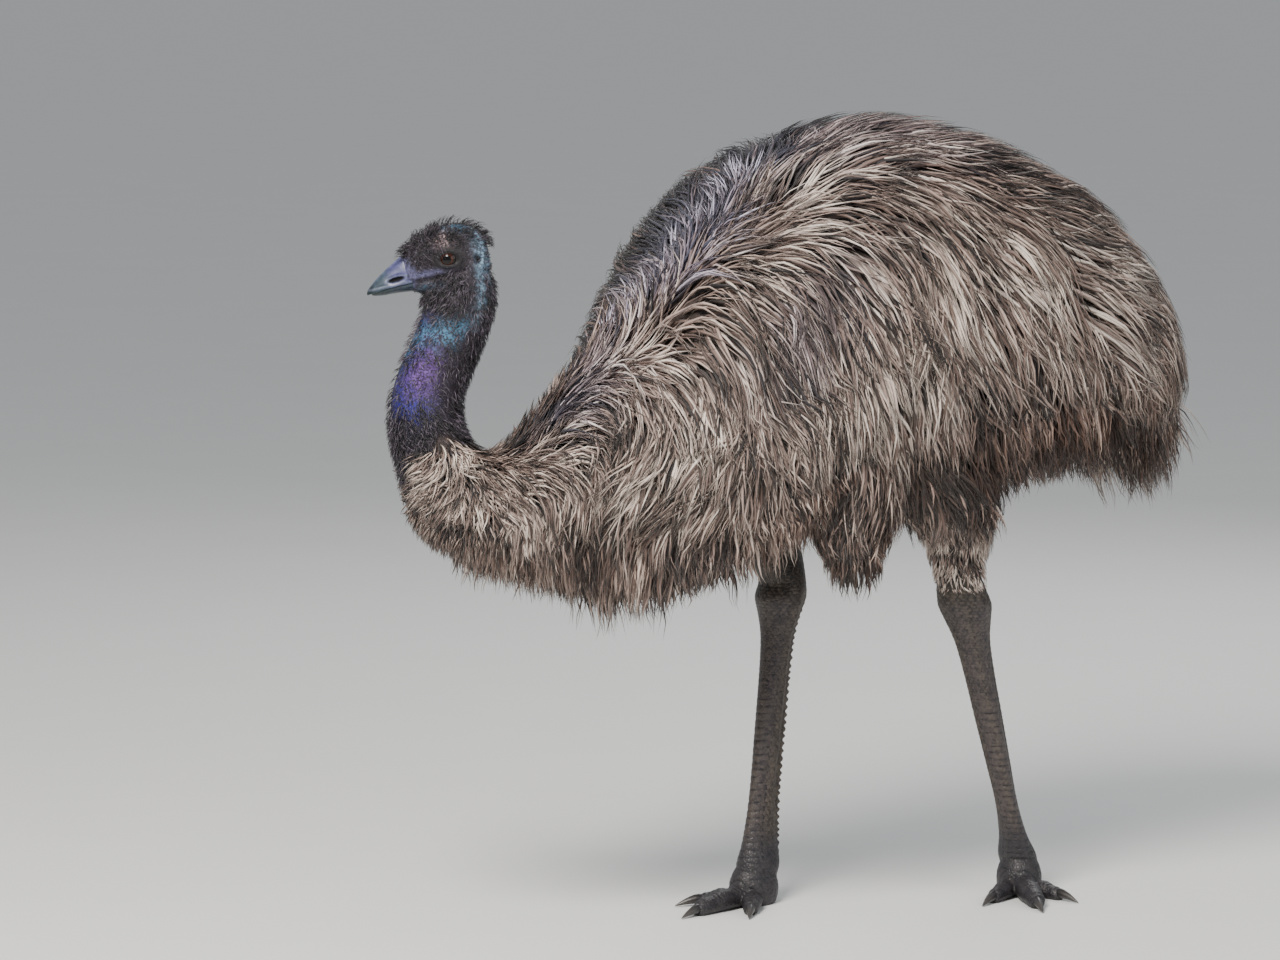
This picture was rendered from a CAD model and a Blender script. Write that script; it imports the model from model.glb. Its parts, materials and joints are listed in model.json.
"""Dresses the solids of a life-size museum emu for rendering.

The tables are in millimetres in the drawing frame of the part's source, where the bird faces -Y and its left
side is +X. Each finished mesh is moved to the row frame, in metres, by TO_ROW.
"""

import json
import logging
import math
from collections.abc import Callable, Sequence
from dataclasses import dataclass, fields, replace
from enum import Enum
from functools import cache

import bmesh
import bpy
import numpy as np
from mathutils import Matrix, Vector
from mathutils.kdtree import KDTree

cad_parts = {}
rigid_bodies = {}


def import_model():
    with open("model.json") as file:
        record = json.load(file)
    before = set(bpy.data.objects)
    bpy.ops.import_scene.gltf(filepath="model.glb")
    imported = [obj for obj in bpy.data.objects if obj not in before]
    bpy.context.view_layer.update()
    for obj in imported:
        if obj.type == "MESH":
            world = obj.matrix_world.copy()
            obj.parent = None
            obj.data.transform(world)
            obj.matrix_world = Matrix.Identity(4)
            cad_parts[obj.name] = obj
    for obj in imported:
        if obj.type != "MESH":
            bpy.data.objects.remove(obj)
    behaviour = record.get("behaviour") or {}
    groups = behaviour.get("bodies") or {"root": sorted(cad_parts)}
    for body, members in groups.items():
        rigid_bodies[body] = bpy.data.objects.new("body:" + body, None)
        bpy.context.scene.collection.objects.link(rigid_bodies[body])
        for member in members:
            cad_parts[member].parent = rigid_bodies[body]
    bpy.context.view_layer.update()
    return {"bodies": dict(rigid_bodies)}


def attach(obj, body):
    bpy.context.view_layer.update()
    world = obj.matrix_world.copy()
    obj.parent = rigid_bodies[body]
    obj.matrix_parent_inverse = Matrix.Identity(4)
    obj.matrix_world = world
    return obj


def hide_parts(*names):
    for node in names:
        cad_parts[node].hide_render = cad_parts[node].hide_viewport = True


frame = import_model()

Array = np.ndarray
Colour = tuple[float, float, float]
BMesh = bmesh.types.BMesh
Mesh = bpy.types.Mesh
Object = bpy.types.Object
Material = bpy.types.Material
NodeTree = bpy.types.NodeTree
Node = bpy.types.Node
Socket = bpy.types.NodeSocket
LOG = logging.getLogger("emu")
BODY_NAME = next(iter(frame["bodies"]))
METRES = 0.001
SHIFT = np.array([0.0, 95.0, 0.0])
TO_ROW = Matrix.Scale(METRES, 4) @ Matrix.Translation(Vector(SHIFT))
UP = np.array([0.0, 0.0, 1.0])


class Side(Enum):
    """The bird's left or right, as the sign of X."""

    LEFT = 1
    RIGHT = -1

    @property
    def label(self) -> str:
        """The word used in node and piece names."""
        return self.name.lower()


@dataclass(frozen=True)
class Section:
    """One section across the body or a limb.

    The rest are its core's height above and below the centre line, its half width, how full its corners are
    (2 is an ellipse), its pitch and yaw in degrees, and how much longer or shorter the coat hangs there.
    """

    y: float
    z: float
    up: float
    down: float
    half: float
    x: float = 0.0
    full: float = 2.0
    pitch: float = 0.0
    yaw: float = 0.0
    hang: float = 0.0


TRUNK = (
    Section(478, 672, 26, 22, 34, full=2.2, hang=0.3),
    Section(450, 690, 84, 66, 80, full=2.2, hang=0.3),
    Section(385, 722, 148, 110, 128, full=2.2, hang=0.3),
    Section(295, 745, 200, 136, 168, full=2.2, hang=-0.1),
    Section(180, 755, 248, 162, 198, full=2.2, hang=-0.25),
    Section(50, 760, 274, 178, 206, full=2.25),
    Section(-70, 755, 276, 186, 202, full=2.5),
    Section(-185, 725, 272, 190, 190, full=2.9, hang=-0.6),
    Section(-290, 685, 234, 196, 168, full=3.1, hang=-0.35),
    Section(-385, 635, 148, 162, 126, full=2.6, hang=0.15),
    Section(-470, 598, 110, 114, 92, full=2.2, hang=0.3),
    Section(-555, 575, 72, 78, 72, x=-3, pitch=8, yaw=4),
    Section(-618, 588, 56, 66, 58, x=-14, pitch=38, yaw=14),
    Section(-646, 638, 44, 54, 46, x=-32, pitch=72, yaw=26),
    Section(-653, 706, 43, 47, 40, x=-45, pitch=96, yaw=32),
    Section(-630, 785, 43, 43, 38, x=-30, pitch=112, yaw=32),
    Section(-620, 836, 46, 42, 37, x=-22, pitch=96, yaw=32),
    Section(-617, 878, 38, 34, 27, x=-25, pitch=90, yaw=32),
)


def headings(pitch: Array, yaw: Array) -> tuple[Array, Array, Array]:
    """The unit ways ahead, to the left and up of something with a pitch and a yaw.

    Args:
        pitch: Degrees that it points up.
        yaw: Degrees that it turns towards the bird's right.

    Returns:
        Three arrays of vectors.
    """
    rise, turn = np.radians(pitch), np.radians(yaw)
    ahead = np.stack([-np.sin(turn) * np.cos(rise), -np.cos(turn) * np.cos(rise), np.sin(rise)], -1)
    side = np.stack([np.cos(turn), -np.sin(turn), np.zeros_like(turn)], -1)
    return ahead, side, np.cross(ahead, side)


def unit(vectors: Array) -> Array:
    """The vectors at length one."""
    return vectors / np.maximum(np.linalg.norm(vectors, axis=-1, keepdims=True), 1e-9)


def dot(a: Array, b: Array) -> Array:
    """The scalar product of each pair of vectors."""
    return np.einsum("...i,...i->...", a, b)


def smooth(low: float, high: float, value: Array) -> Array:
    """A soft step from 0 at low to 1 at high, which may be the smaller of the two."""
    share = np.clip((value - low) / (high - low), 0.0, 1.0)
    return share * share * (3.0 - 2.0 * share)


def bell(value: Array, middle: float | Array, width: float) -> Array:
    """1 where the value is at the middle, falling softly to 0 on both sides of it."""
    return np.exp(-(((value - middle) / width) ** 2))


def curve(knots: Sequence[Array], f: float | Array) -> Array:
    """The place at the share f of the way between the inner two of four knots, on a smooth curve."""
    a, b, c, d = knots
    return b + 0.5 * f * (c - a + f * (2 * a - 5 * b + 4 * c - d + f * (3 * (b - c) + d - a)))


def half_turn(degrees: Array) -> Array:
    """The same angles from -180 to 180."""
    return (degrees + 180.0) % 360.0 - 180.0


class Tube:
    """A body or limb drawn round its sections, by t along it and phi round it from its back."""

    def __init__(self, sections: Sequence[Section]) -> None:
        """Keeps the sections as columns.

        Args:
            sections: From the rear or top end forward or up.
        """
        self.last = len(sections) - 1
        names = [each.name for each in fields(Section)]
        self.columns = {name: np.array([getattr(row, name) for row in sections], float) for name in names}

    def column(self, key: str, t: Array) -> Array:
        """One measure at t, along a smooth curve through the sections.

        Args:
            key: The name of the measure.
            t: Where along the tube, counted in sections.

        Returns:
            One number for each place.
        """
        values = self.columns[key]
        i = np.clip(np.floor(t).astype(int), 0, self.last - 1)
        return curve([values[np.clip(i + k, 0, self.last)] for k in (-1, 0, 1, 2)], t - i)

    def centres(self, t: Array) -> Array:
        """The places on the centre line."""
        return np.stack([self.column(axis, t) for axis in "xyz"], -1)

    def ways(self, t: Array) -> tuple[Array, Array, Array]:
        """The ways ahead, to the left and up at t."""
        return headings(self.column("pitch", t), self.column("yaw", t))

    def points(self, t: Array, phi: Array, grow: Array | float = 0.0) -> Array:
        """Places on the surface, or a little outside or inside it.

        Args:
            t: Where along the tube, counted in sections.
            phi: How far round, in radians from the back towards the left side.
            grow: How far outside the surface.

        Returns:
            An array of places.
        """
        _, side, up = self.ways(t)
        c, s = np.cos(phi), np.sin(phi)
        power = 2.0 / self.column("full", t)
        high = np.where(c < 0, self.column("down", t), self.column("up", t)) + grow
        wide = self.column("half", t) + grow
        rise = np.sign(c) * np.abs(c) ** power * high
        out = np.sign(s) * np.abs(s) ** power * wide
        return self.centres(t) + up * rise[..., None] + side * out[..., None]

    def slopes(self, t: Array, phi: Array) -> tuple[Array, Array, Array]:
        """How the surface runs along t, round phi, and its outward normal.

        Args:
            t: Where along the tube.
            phi: How far round it, in radians.

        Returns:
            Three arrays of vectors, the last of length one.
        """
        h = 0.02
        along = (self.points(t + h, phi) - self.points(t - h, phi)) / (2 * h)
        round_ = (self.points(t, phi + h) - self.points(t, phi - h)) / (2 * h)
        return along, round_, unit(np.cross(along, round_))

    def skin(self, bm: BMesh, start: float, end: float, grow: Callable[[Array], Array],
             shape: tuple[int, int]) -> None:
        """Wraps a grid round a stretch of the tube and closes its ends.

        Args:
            bm: The mesh that it is added to.
            start: Where it begins along the tube.
            end: Where it ends.
            grow: How far outside the surface it lies, by t.
            shape: How many faces it has along and round the tube.
        """
        made = bmesh.ops.create_grid(bm, x_segments=shape[0], y_segments=shape[1], size=1.0)["verts"]
        share = np.array([v.co[:2] for v in made]) * 0.5 + 0.5
        t = start + (end - start) * share[:, 0]
        places = self.points(t, 2 * math.pi * share[:, 1], grow(t))
        for vert, place in zip(made, places):
            vert.co = place
        bmesh.ops.remove_doubles(bm, verts=made, dist=0.01)
        rims = [e for e in bm.edges if e.is_boundary]
        bmesh.ops.holes_fill(bm, edges=rims, sides=0)


def add_object(name: str, data: bpy.types.ID) -> Object:
    """Links a new object with this data to the scene.

    Args:
        name: The object's name.
        data: Its mesh, light or camera.

    Returns:
        The object.
    """
    made = bpy.data.objects.new(name, data)
    bpy.context.scene.collection.objects.link(made)
    return made


def finish_mesh(bm: BMesh, name: str) -> Object:
    """Turns a mesh drawn in millimetres into an object in the row frame.

    Args:
        bm: The drawn mesh, which is freed.
        name: The piece's name.

    Returns:
        The new object, linked to the scene.
    """
    bmesh.ops.recalc_face_normals(bm, faces=bm.faces)
    bmesh.ops.transform(bm, matrix=TO_ROW, verts=bm.verts)
    mesh = bpy.data.meshes.new(name)
    bm.to_mesh(mesh)
    bm.free()
    mesh.shade_smooth()
    return add_object(name, mesh)


def bake(made: Object) -> None:
    """Applies an object's modifiers to its mesh.

    Args:
        made: The object.
    """
    graph = bpy.context.evaluated_depsgraph_get()
    mesh = bpy.data.meshes.new_from_object(made.evaluated_get(graph))
    made.modifiers.clear()
    old = made.data
    made.data = mesh
    bpy.data.meshes.remove(old)
    mesh.name = made.name
    mesh.shade_smooth()


def melt(made: Object, voxel: float, rounds: int) -> None:
    """Fuses an object's closed shells into one even, soft mesh.

    Args:
        made: The object.
        voxel: The size of its new faces in millimetres.
        rounds: How many times it is smoothed.
    """
    cells = made.modifiers.new("melt", "REMESH")
    cells.mode = "VOXEL"
    cells.voxel_size = voxel * METRES
    soften = made.modifiers.new("soften", "SMOOTH")
    soften.factor = 0.5
    soften.iterations = rounds
    bake(made)


def read_places(mesh: Mesh) -> tuple[Array, Array]:
    """A mesh's places in millimetres in the drawing frame, and its normals.

    Args:
        mesh: The mesh.

    Returns:
        Two arrays with a row for each vertex.
    """
    count = len(mesh.vertices)
    places, normals = np.zeros(count * 3, np.float32), np.zeros(count * 3, np.float32)
    mesh.vertices.foreach_get("co", places)
    mesh.vertices.foreach_get("normal", normals)
    places, normals = (values.reshape(-1, 3).astype(float) for values in (places, normals))
    return places * 1000.0 - SHIFT, normals


def write_places(mesh: Mesh, places: Array) -> None:
    """Moves a mesh's vertices to places in millimetres in the drawing frame."""
    mesh.vertices.foreach_set("co", ((places + SHIFT) * METRES).astype(np.float32).ravel())
    mesh.update()


def write_colours(mesh: Mesh, name: str, values: Array) -> None:
    """Writes four numbers at each vertex.

    Args:
        mesh: The mesh.
        name: The attribute's name.
        values: One row of four for each vertex.
    """
    layer = mesh.attributes.new(name, "FLOAT_COLOR", "POINT")
    layer.data.foreach_set("color", np.clip(values, 0.0, 1.0).astype(np.float32).ravel())


def ripple(places: Array, size: float, seed: int) -> Array:
    """A soft pattern from -1 to 1 over space.

    Args:
        places: Where it is wanted, in millimetres.
        size: The rough length of its waves.
        seed: Which pattern.

    Returns:
        One number for each place.
    """
    draw = np.random.default_rng(seed)
    total = np.zeros(places.shape[:-1])
    for _ in range(5):
        way = unit(draw.normal(size=3)) * 2 * math.pi / (size * draw.uniform(0.7, 1.5))
        total += np.sin(places @ way + draw.uniform(0, 2 * math.pi))
    return np.clip(total / 2.4, -1.0, 1.0)


PARTING = ((6.0, 0), (6.9, 2), (7.4, 6), (7.9, 8), (8.3, 7), (8.9, 1), (9.4, -15), (9.9, -10), (10.7, 0))


def from_parting(t: Array, phi: Array) -> Array:
    """How many degrees a place lies to the left of the parting along the back, from -180 to 180."""
    degrees = half_turn(np.degrees(phi))
    return degrees - np.interp(t, *zip(*PARTING)) * bell(degrees, 0.0, 55.0)


def spot(a: Array, b: Array, middle: tuple[float, float], reach: tuple[float, float]) -> Array:
    """A soft oval spot in two measures, with its middle and its reach in both."""
    return np.exp(-(((a - middle[0]) / reach[0]) ** 2) - ((b - middle[1]) / reach[1]) ** 2)


@dataclass(frozen=True)
class Spot:
    """A soft oval spot in two measures: its middle, its reach in both and its strength."""

    middle: tuple[float, float]
    reach: tuple[float, float]
    strength: float = 1.0

    def share(self, a: Array, b: Array) -> Array:
        """How strong the spot is at each place."""
        return self.strength * spot(a, b, self.middle, self.reach)


@dataclass(frozen=True)
class Patch:
    """A soft spot on the trunk: its middle in t and degrees round, its reach in both and its strength."""

    t: float
    phi: float
    long: float
    wide: float
    strength: float = 1.0

    def share(self, t: Array, phi: Array) -> Array:
        """How strong the marking is at each place."""
        turn = half_turn(from_parting(t, phi) - self.phi)
        return self.strength * spot(t, turn, (self.t, 0.0), (self.long, self.wide))


@dataclass(frozen=True)
class Markings:
    """Where the plumage is pale, rusty, tinted blue or dark, for skin and coat alike."""

    pale: tuple[Patch, ...] = (
        Patch(9.0, 84, 0.55, 20, 0.85), Patch(8.7, 108, 0.4, 12, 0.4), Patch(10.0, 22, 0.35, 9, 0.7),
        Patch(6.6, 88, 0.5, 9, 0.6), Patch(7.4, 30, 0.5, 12, 0.8), Patch(7.0, 86, 0.7, 14, 0.5),
        Patch(5.1, 62, 0.4, 8, 0.5), Patch(10.8, 96, 0.6, 20, 0.5), Patch(13.15, 58, 0.4, 22, 0.9),
        Patch(12.2, 100, 0.7, 34, 0.3), Patch(13.0, 74, 0.35, 24, 0.9), Patch(8.8, 76, 0.3, 9, 0.6),
        Patch(6.7, 100, 0.7, 16, 0.4), Patch(6.2, 90, 0.7, 13, 0.45), Patch(9.35, 74, 0.6, 16, 0.7),
        Patch(6.3, 52, 1.0, 13, 0.8), Patch(4.6, 56, 1.2, 13, 0.4), Patch(3.25, 48, 0.7, 13, 1.0),
        Patch(11.1, 58, 0.6, 18, 0.5), Patch(5.1, 98, 0.5, 14, 0.2), Patch(5.0, 72, 0.6, 12, 0.25),
        Patch(7.3, 128, 0.5, 14, 0.5), Patch(3.6, 88, 1.2, 22, 0.5), Patch(1.4, 60, 1.0, 30, 0.55),
        Patch(8.0, 5, 1.3, 6, 0.5), Patch(9.0, -84, 0.55, 20, 0.7), Patch(10.7, -100, 0.8, 26, 0.6),
        Patch(6.6, -112, 0.8, 22, 0.5), Patch(3.6, -88, 1.2, 22, 0.5),
    )
    rust: tuple[Patch, ...] = (
        Patch(3.9, 128, 1.5, 24, 0.9), Patch(1.6, 120, 1.2, 30, 0.6), Patch(7.0, 130, 0.7, 18, 0.5),
        Patch(10.4, 140, 1.4, 30, 0.4), Patch(3.9, -128, 1.5, 24, 0.9),
    )
    blue: tuple[Patch, ...] = (
        Patch(8.3, 2, 1.2, 8, 0.9), Patch(6.2, 12, 1.4, 16, 0.25), Patch(7.6, 62, 0.6, 12, 0.35),
        Patch(10.4, 14, 0.8, 16, 0.5),
    )
    dark: tuple[Patch, ...] = (
        Patch(7.9, -22, 1.7, 20, 1.0), Patch(7.6, -56, 1.9, 24, 0.8), Patch(1.8, 132, 1.2, 18, 0.7),
        Patch(3.7, 142, 1.0, 20, 0.7), Patch(11.1, 2, 1.1, 16, 0.9), Patch(7.4, -7, 0.5, 7, 0.6),
        Patch(12.0, 122, 0.5, 20, 0.6), Patch(7.15, 60, 0.3, 8, 0.5), Patch(10.4, 112, 0.5, 16, 0.6),
        Patch(6.7, 112, 0.4, 8, 0.5), Patch(4.4, 97, 0.5, 9, 0.5), Patch(4.0, 22, 0.9, 12, 0.4),
        Patch(8.8, 118, 0.5, 10, 0.5), Patch(10.25, 50, 0.3, 14, 0.8), Patch(7.9, -8, 1.5, 7, 0.9),
        Patch(6.95, -4, 0.5, 9, 0.9), Patch(5.55, 122, 0.6, 15, 0.7), Patch(2.4, 116, 0.6, 14, 0.8),
        Patch(7.8, 100, 0.35, 20, 0.2), Patch(10.0, 130, 0.6, 24, 0.5), Patch(5.4, 34, 1.6, 16, 0.25),
        Patch(13.2, 0, 0.7, 26, 0.9),
    )

    def read(self, t: Array, phi: Array) -> Array:
        """The four markings at each place.

        Args:
            t: Where along the trunk.
            phi: How far round, in radians.

        Returns:
            An array with the shares of pale, rust, blue and dark.
        """
        kinds = (self.pale, self.rust, self.blue, self.dark)
        shares = [sum((patch.share(t, phi) for patch in kind), np.zeros_like(t)) for kind in kinds]
        return np.clip(np.stack(shares, -1), 0.0, 1.0)


ROUND = (0.0, 20.0, 45.0, 70.0, 90.0, 110.0, 130.0, 180.0)


@dataclass(frozen=True)
class Lie:
    """Which way a coat lies, in degrees from straight towards the tail round to straight down its side.

    A row is a place along the tube and its angles at the places round it in ROUND, alike on both sides.
    Spill is how much further the right side turns down close to the parting along the back, between two
    places.
    """

    rows: tuple[tuple[float, ...], ...]
    spill: float = 0.0
    spilt: tuple[float, float] = (6.0, 9.0)

    def ways(self, t: Array, phi: Array, along: Array, round_: Array) -> Array:
        """The way of the coat at each place, on the surface.

        Args:
            t: Where along the tube.
            phi: How far round it.
            along: How the surface runs along the tube there.
            round_: How it runs round the tube.

        Returns:
            Unit vectors.
        """
        degrees = from_parting(t, phi)
        side = np.where(degrees < 0, -1.0, 1.0)
        table = np.array(self.rows)
        angles = np.stack([np.interp(np.abs(degrees), ROUND, row[1:]) for row in table])
        at = np.interp(t, table[:, 0], np.arange(len(table)))
        low = np.minimum(at.astype(int), len(table) - 2)
        each = np.arange(len(t))
        angle = angles[low, each] * (1 - at + low) + angles[low + 1, each] * (at - low)
        start, end = self.spilt
        near = bell(degrees, -16, 17) * smooth(start, start + 0.7, t) * smooth(end, end - 0.7, t)
        angle = np.radians(angle + self.spill * near * (side < 0))[:, None]
        back = -unit(along)
        down = unit((round_ - back * dot(round_, back)[:, None]) * side[:, None])
        return back * np.cos(angle) + down * np.sin(angle)


def turned(way: Array, normal: Array, angle: Array) -> Array:
    """The ways turned round their normals by an angle in radians."""
    c, s = np.cos(angle)[..., None], np.sin(angle)[..., None]
    return way * c + np.cross(normal, way) * s


@dataclass(frozen=True)
class Strand:
    """What one kind of strand is like, in millimetres, and how it bunches with others.

    Lift is how far the tips stand off the core, sink how deep the root lies, steps how many rings it has,
    pull how far the tips of a bunch are drawn together, stray how much it turns, spread how wide a bunch
    is, hem how far the surface turns down before it hangs free, keep the share of its length that it
    keeps there, and droop how fast it falls. Between the two places in fade it shrinks to the share
    least. Wave is how far it swings from side to side, and fine the share of strands that are thin.
    """

    length: float
    width: float
    thick: float
    lift: tuple[float, float]
    sink: float
    steps: int
    pull: float
    stray: float
    spread: float
    bunch: int = 9
    hem: float = -0.45
    keep: float = 0.62
    droop: float = 0.35
    fade: tuple[float, float] = (90.0, 91.0)
    least: float = 1.0
    wave: float = 0.0
    fine: float = 0.0


@dataclass(frozen=True)
class Roots:
    """Where bunches of strands start on a tube, how long each strand is, and the draw that goes on."""

    t: Array
    phi: Array
    bunch: Array
    long: Array
    draw: np.random.Generator


TRIES_A_BUNCH = 12
CHANCE_GRID = (81, 121)
TUBE_END = 0.05
WAVE_LENGTH = 95.0


def spread_roots(tube: Tube, start: float, end: float, count: int, strand: Strand, seed: int,
                 keep: Callable[[Array, Array], Array] | None = None) -> Roots:
    """Spreads bunches of strands evenly over a stretch of a tube.

    Args:
        tube: What they grow on.
        start: Where the stretch begins.
        end: Where it ends.
        count: How many strands there are.
        strand: What they are like.
        seed: Which draw of random numbers is used.
        keep: How likely a place is to carry strands, from 0 to 1.

    Returns:
        The roots, bunch by bunch.
    """
    draw = np.random.default_rng(seed)
    rows, columns = CHANCE_GRID
    edges = np.linspace(start, end, rows), np.linspace(-math.pi, math.pi, columns)
    along, round_, _ = tube.slopes(*np.meshgrid(*edges, indexing="ij"))
    area = np.linalg.norm(np.cross(along, round_), axis=-1)
    bunches = max(1, count // strand.bunch)
    tries = bunches * TRIES_A_BUNCH
    t, phi = draw.uniform(start, end, tries), draw.uniform(-math.pi, math.pi, tries)
    row = np.clip(((t - start) / (end - start) * (rows - 1)).astype(int), 0, rows - 1)
    column = np.clip(((phi + math.pi) / (2 * math.pi) * (columns - 1)).astype(int), 0, columns - 1)
    chance = area[row, column] / area.max()
    if keep is not None:
        chance = chance * keep(t, phi)
    chosen = np.flatnonzero(draw.uniform(size=tries) < chance / max(chance.max(), 1e-6))[:bunches]
    t, phi = np.repeat(t[chosen], strand.bunch), np.repeat(phi[chosen], strand.bunch)
    along, round_, _ = tube.slopes(t, phi)
    across = draw.normal(size=(2, len(t))) * strand.spread
    t = t + across[0] / np.linalg.norm(along, axis=-1)
    phi = phi + across[1] / np.maximum(np.linalg.norm(round_, axis=-1), 5.0)
    group = np.repeat(np.arange(len(chosen)), strand.bunch)
    long = draw.normal(1.0, 0.17, len(chosen))[group] * draw.normal(1.0, 0.16, len(t))
    return Roots(np.clip(t, 0.02, tube.last - 0.02), phi, group, np.clip(long, 0.45, 1.5), draw)


def trace(tube: Tube, roots: Roots, strand: Strand, lie: Lie) -> tuple[Array, Array]:
    """Draws the path of each strand over the surface and down from the hem.

    Args:
        tube: What the strands grow on.
        roots: Where they start.
        strand: What they are like.
        lie: Which way they lie.

    Returns:
        The places along each strand, and the normals there.
    """
    draw, count = roots.draw, len(roots.t)
    groups = roots.bunch.max() + 1
    t, phi = roots.t, roots.phi
    fade = 1 - (1 - strand.least) * smooth(*strand.fade, t)
    stride = strand.length * roots.long * fade / strand.steps
    twist = draw.normal(0, strand.stray, groups)[roots.bunch] + draw.normal(0, strand.stray * 0.55, count)
    bend = draw.normal(0, strand.stray * 2.2, groups)[roots.bunch] + draw.normal(0, strand.stray, count)
    low, high = strand.lift
    layer = 0.55 * draw.uniform(size=groups)[roots.bunch] + 0.45 * draw.uniform(size=count)
    tip = (low + (high - low) * layer) * fade
    place = tube.points(t, phi)
    along, round_, normal = tube.slopes(t, phi)
    twist = twist + 0.26 * ripple(place, 170.0, 5) + 0.14 * ripple(place, 70.0, 6)
    free = np.zeros(count, bool)
    way = np.zeros((count, 3))
    places, normals = [], []
    for k in range(strand.steps + 1):
        share = k / strand.steps
        wish = turned(lie.ways(t, phi, along, round_), normal, twist + bend * (share - 0.4))
        way = np.where(free[:, None], way, wish)
        free = free | (normal[:, 2] < strand.hem) | (t < TUBE_END) | (t > tube.last - TUBE_END)
        height = (strand.sink + tip) * (1 - (1 - share) ** 1.7) - strand.sink
        places.append(place + normal * height[:, None])
        normals.append(normal)
        across = np.cross(way, normal)
        drop = strand.droop * (1 + 5.0 * smooth(0.6, 0.1, t))
        hung = unit(way - drop[:, None] * UP)
        step = stride * strand.keep * (1 + tube.column("hang", t))
        hung_normal = unit(np.cross(across, hung))
        cross = np.cross(along, round_)
        size = np.maximum(dot(cross, cross), 1e-6)
        t = np.where(free, t, t + dot(np.cross(way, round_), cross) / size * stride)
        t = np.clip(t, 0.0, tube.last)
        phi = np.where(free, phi, phi + dot(np.cross(along, way), cross) / size * stride)
        along, round_, lying = tube.slopes(t, phi)
        place = np.where(free[:, None], place + hung * step[:, None], tube.points(t, phi))
        normal = np.where(free[:, None], hung_normal, lying)
        way = np.where(free[:, None], hung, way)
    path, path_normals = np.stack(places, 1), np.stack(normals, 1)
    return gather(path, path_normals, roots, strand), path_normals


def gather(path: Array, normals: Array, roots: Roots, strand: Strand) -> Array:
    """Draws the strands of each bunch together towards their tips and makes them wavy.

    Args:
        path: Places along each strand.
        normals: The surface normals there.
        roots: Where the strands start.
        strand: What they are like.

    Returns:
        The new places.
    """
    draw, count = roots.draw, len(roots.t)
    groups = roots.bunch.max() + 1
    share = np.linspace(0, 1, strand.steps + 1)
    lead = np.zeros((groups, strand.steps + 1, 3))
    np.add.at(lead, roots.bunch, path)
    lead /= np.bincount(roots.bunch, minlength=groups)[:, None, None]
    pull = (strand.pull * draw.uniform(0.5, 1.15, count))[:, None] * share ** 1.6
    flat = lead[roots.bunch] - path
    flat -= normals * dot(flat, normals)[..., None] * 0.7
    path = path + flat * np.clip(pull, 0, 0.95)[..., None]
    across = unit(np.cross(np.gradient(path, axis=1), normals))
    phase = draw.uniform(0, 2 * math.pi, groups)[roots.bunch] + draw.normal(0, 0.5, count)
    run = share * (strand.length * roots.long / WAVE_LENGTH)[:, None] * 2 * math.pi
    swing = np.sin(run + phase[:, None]) * share
    return path + across * (strand.wave * swing)[..., None]


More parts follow.
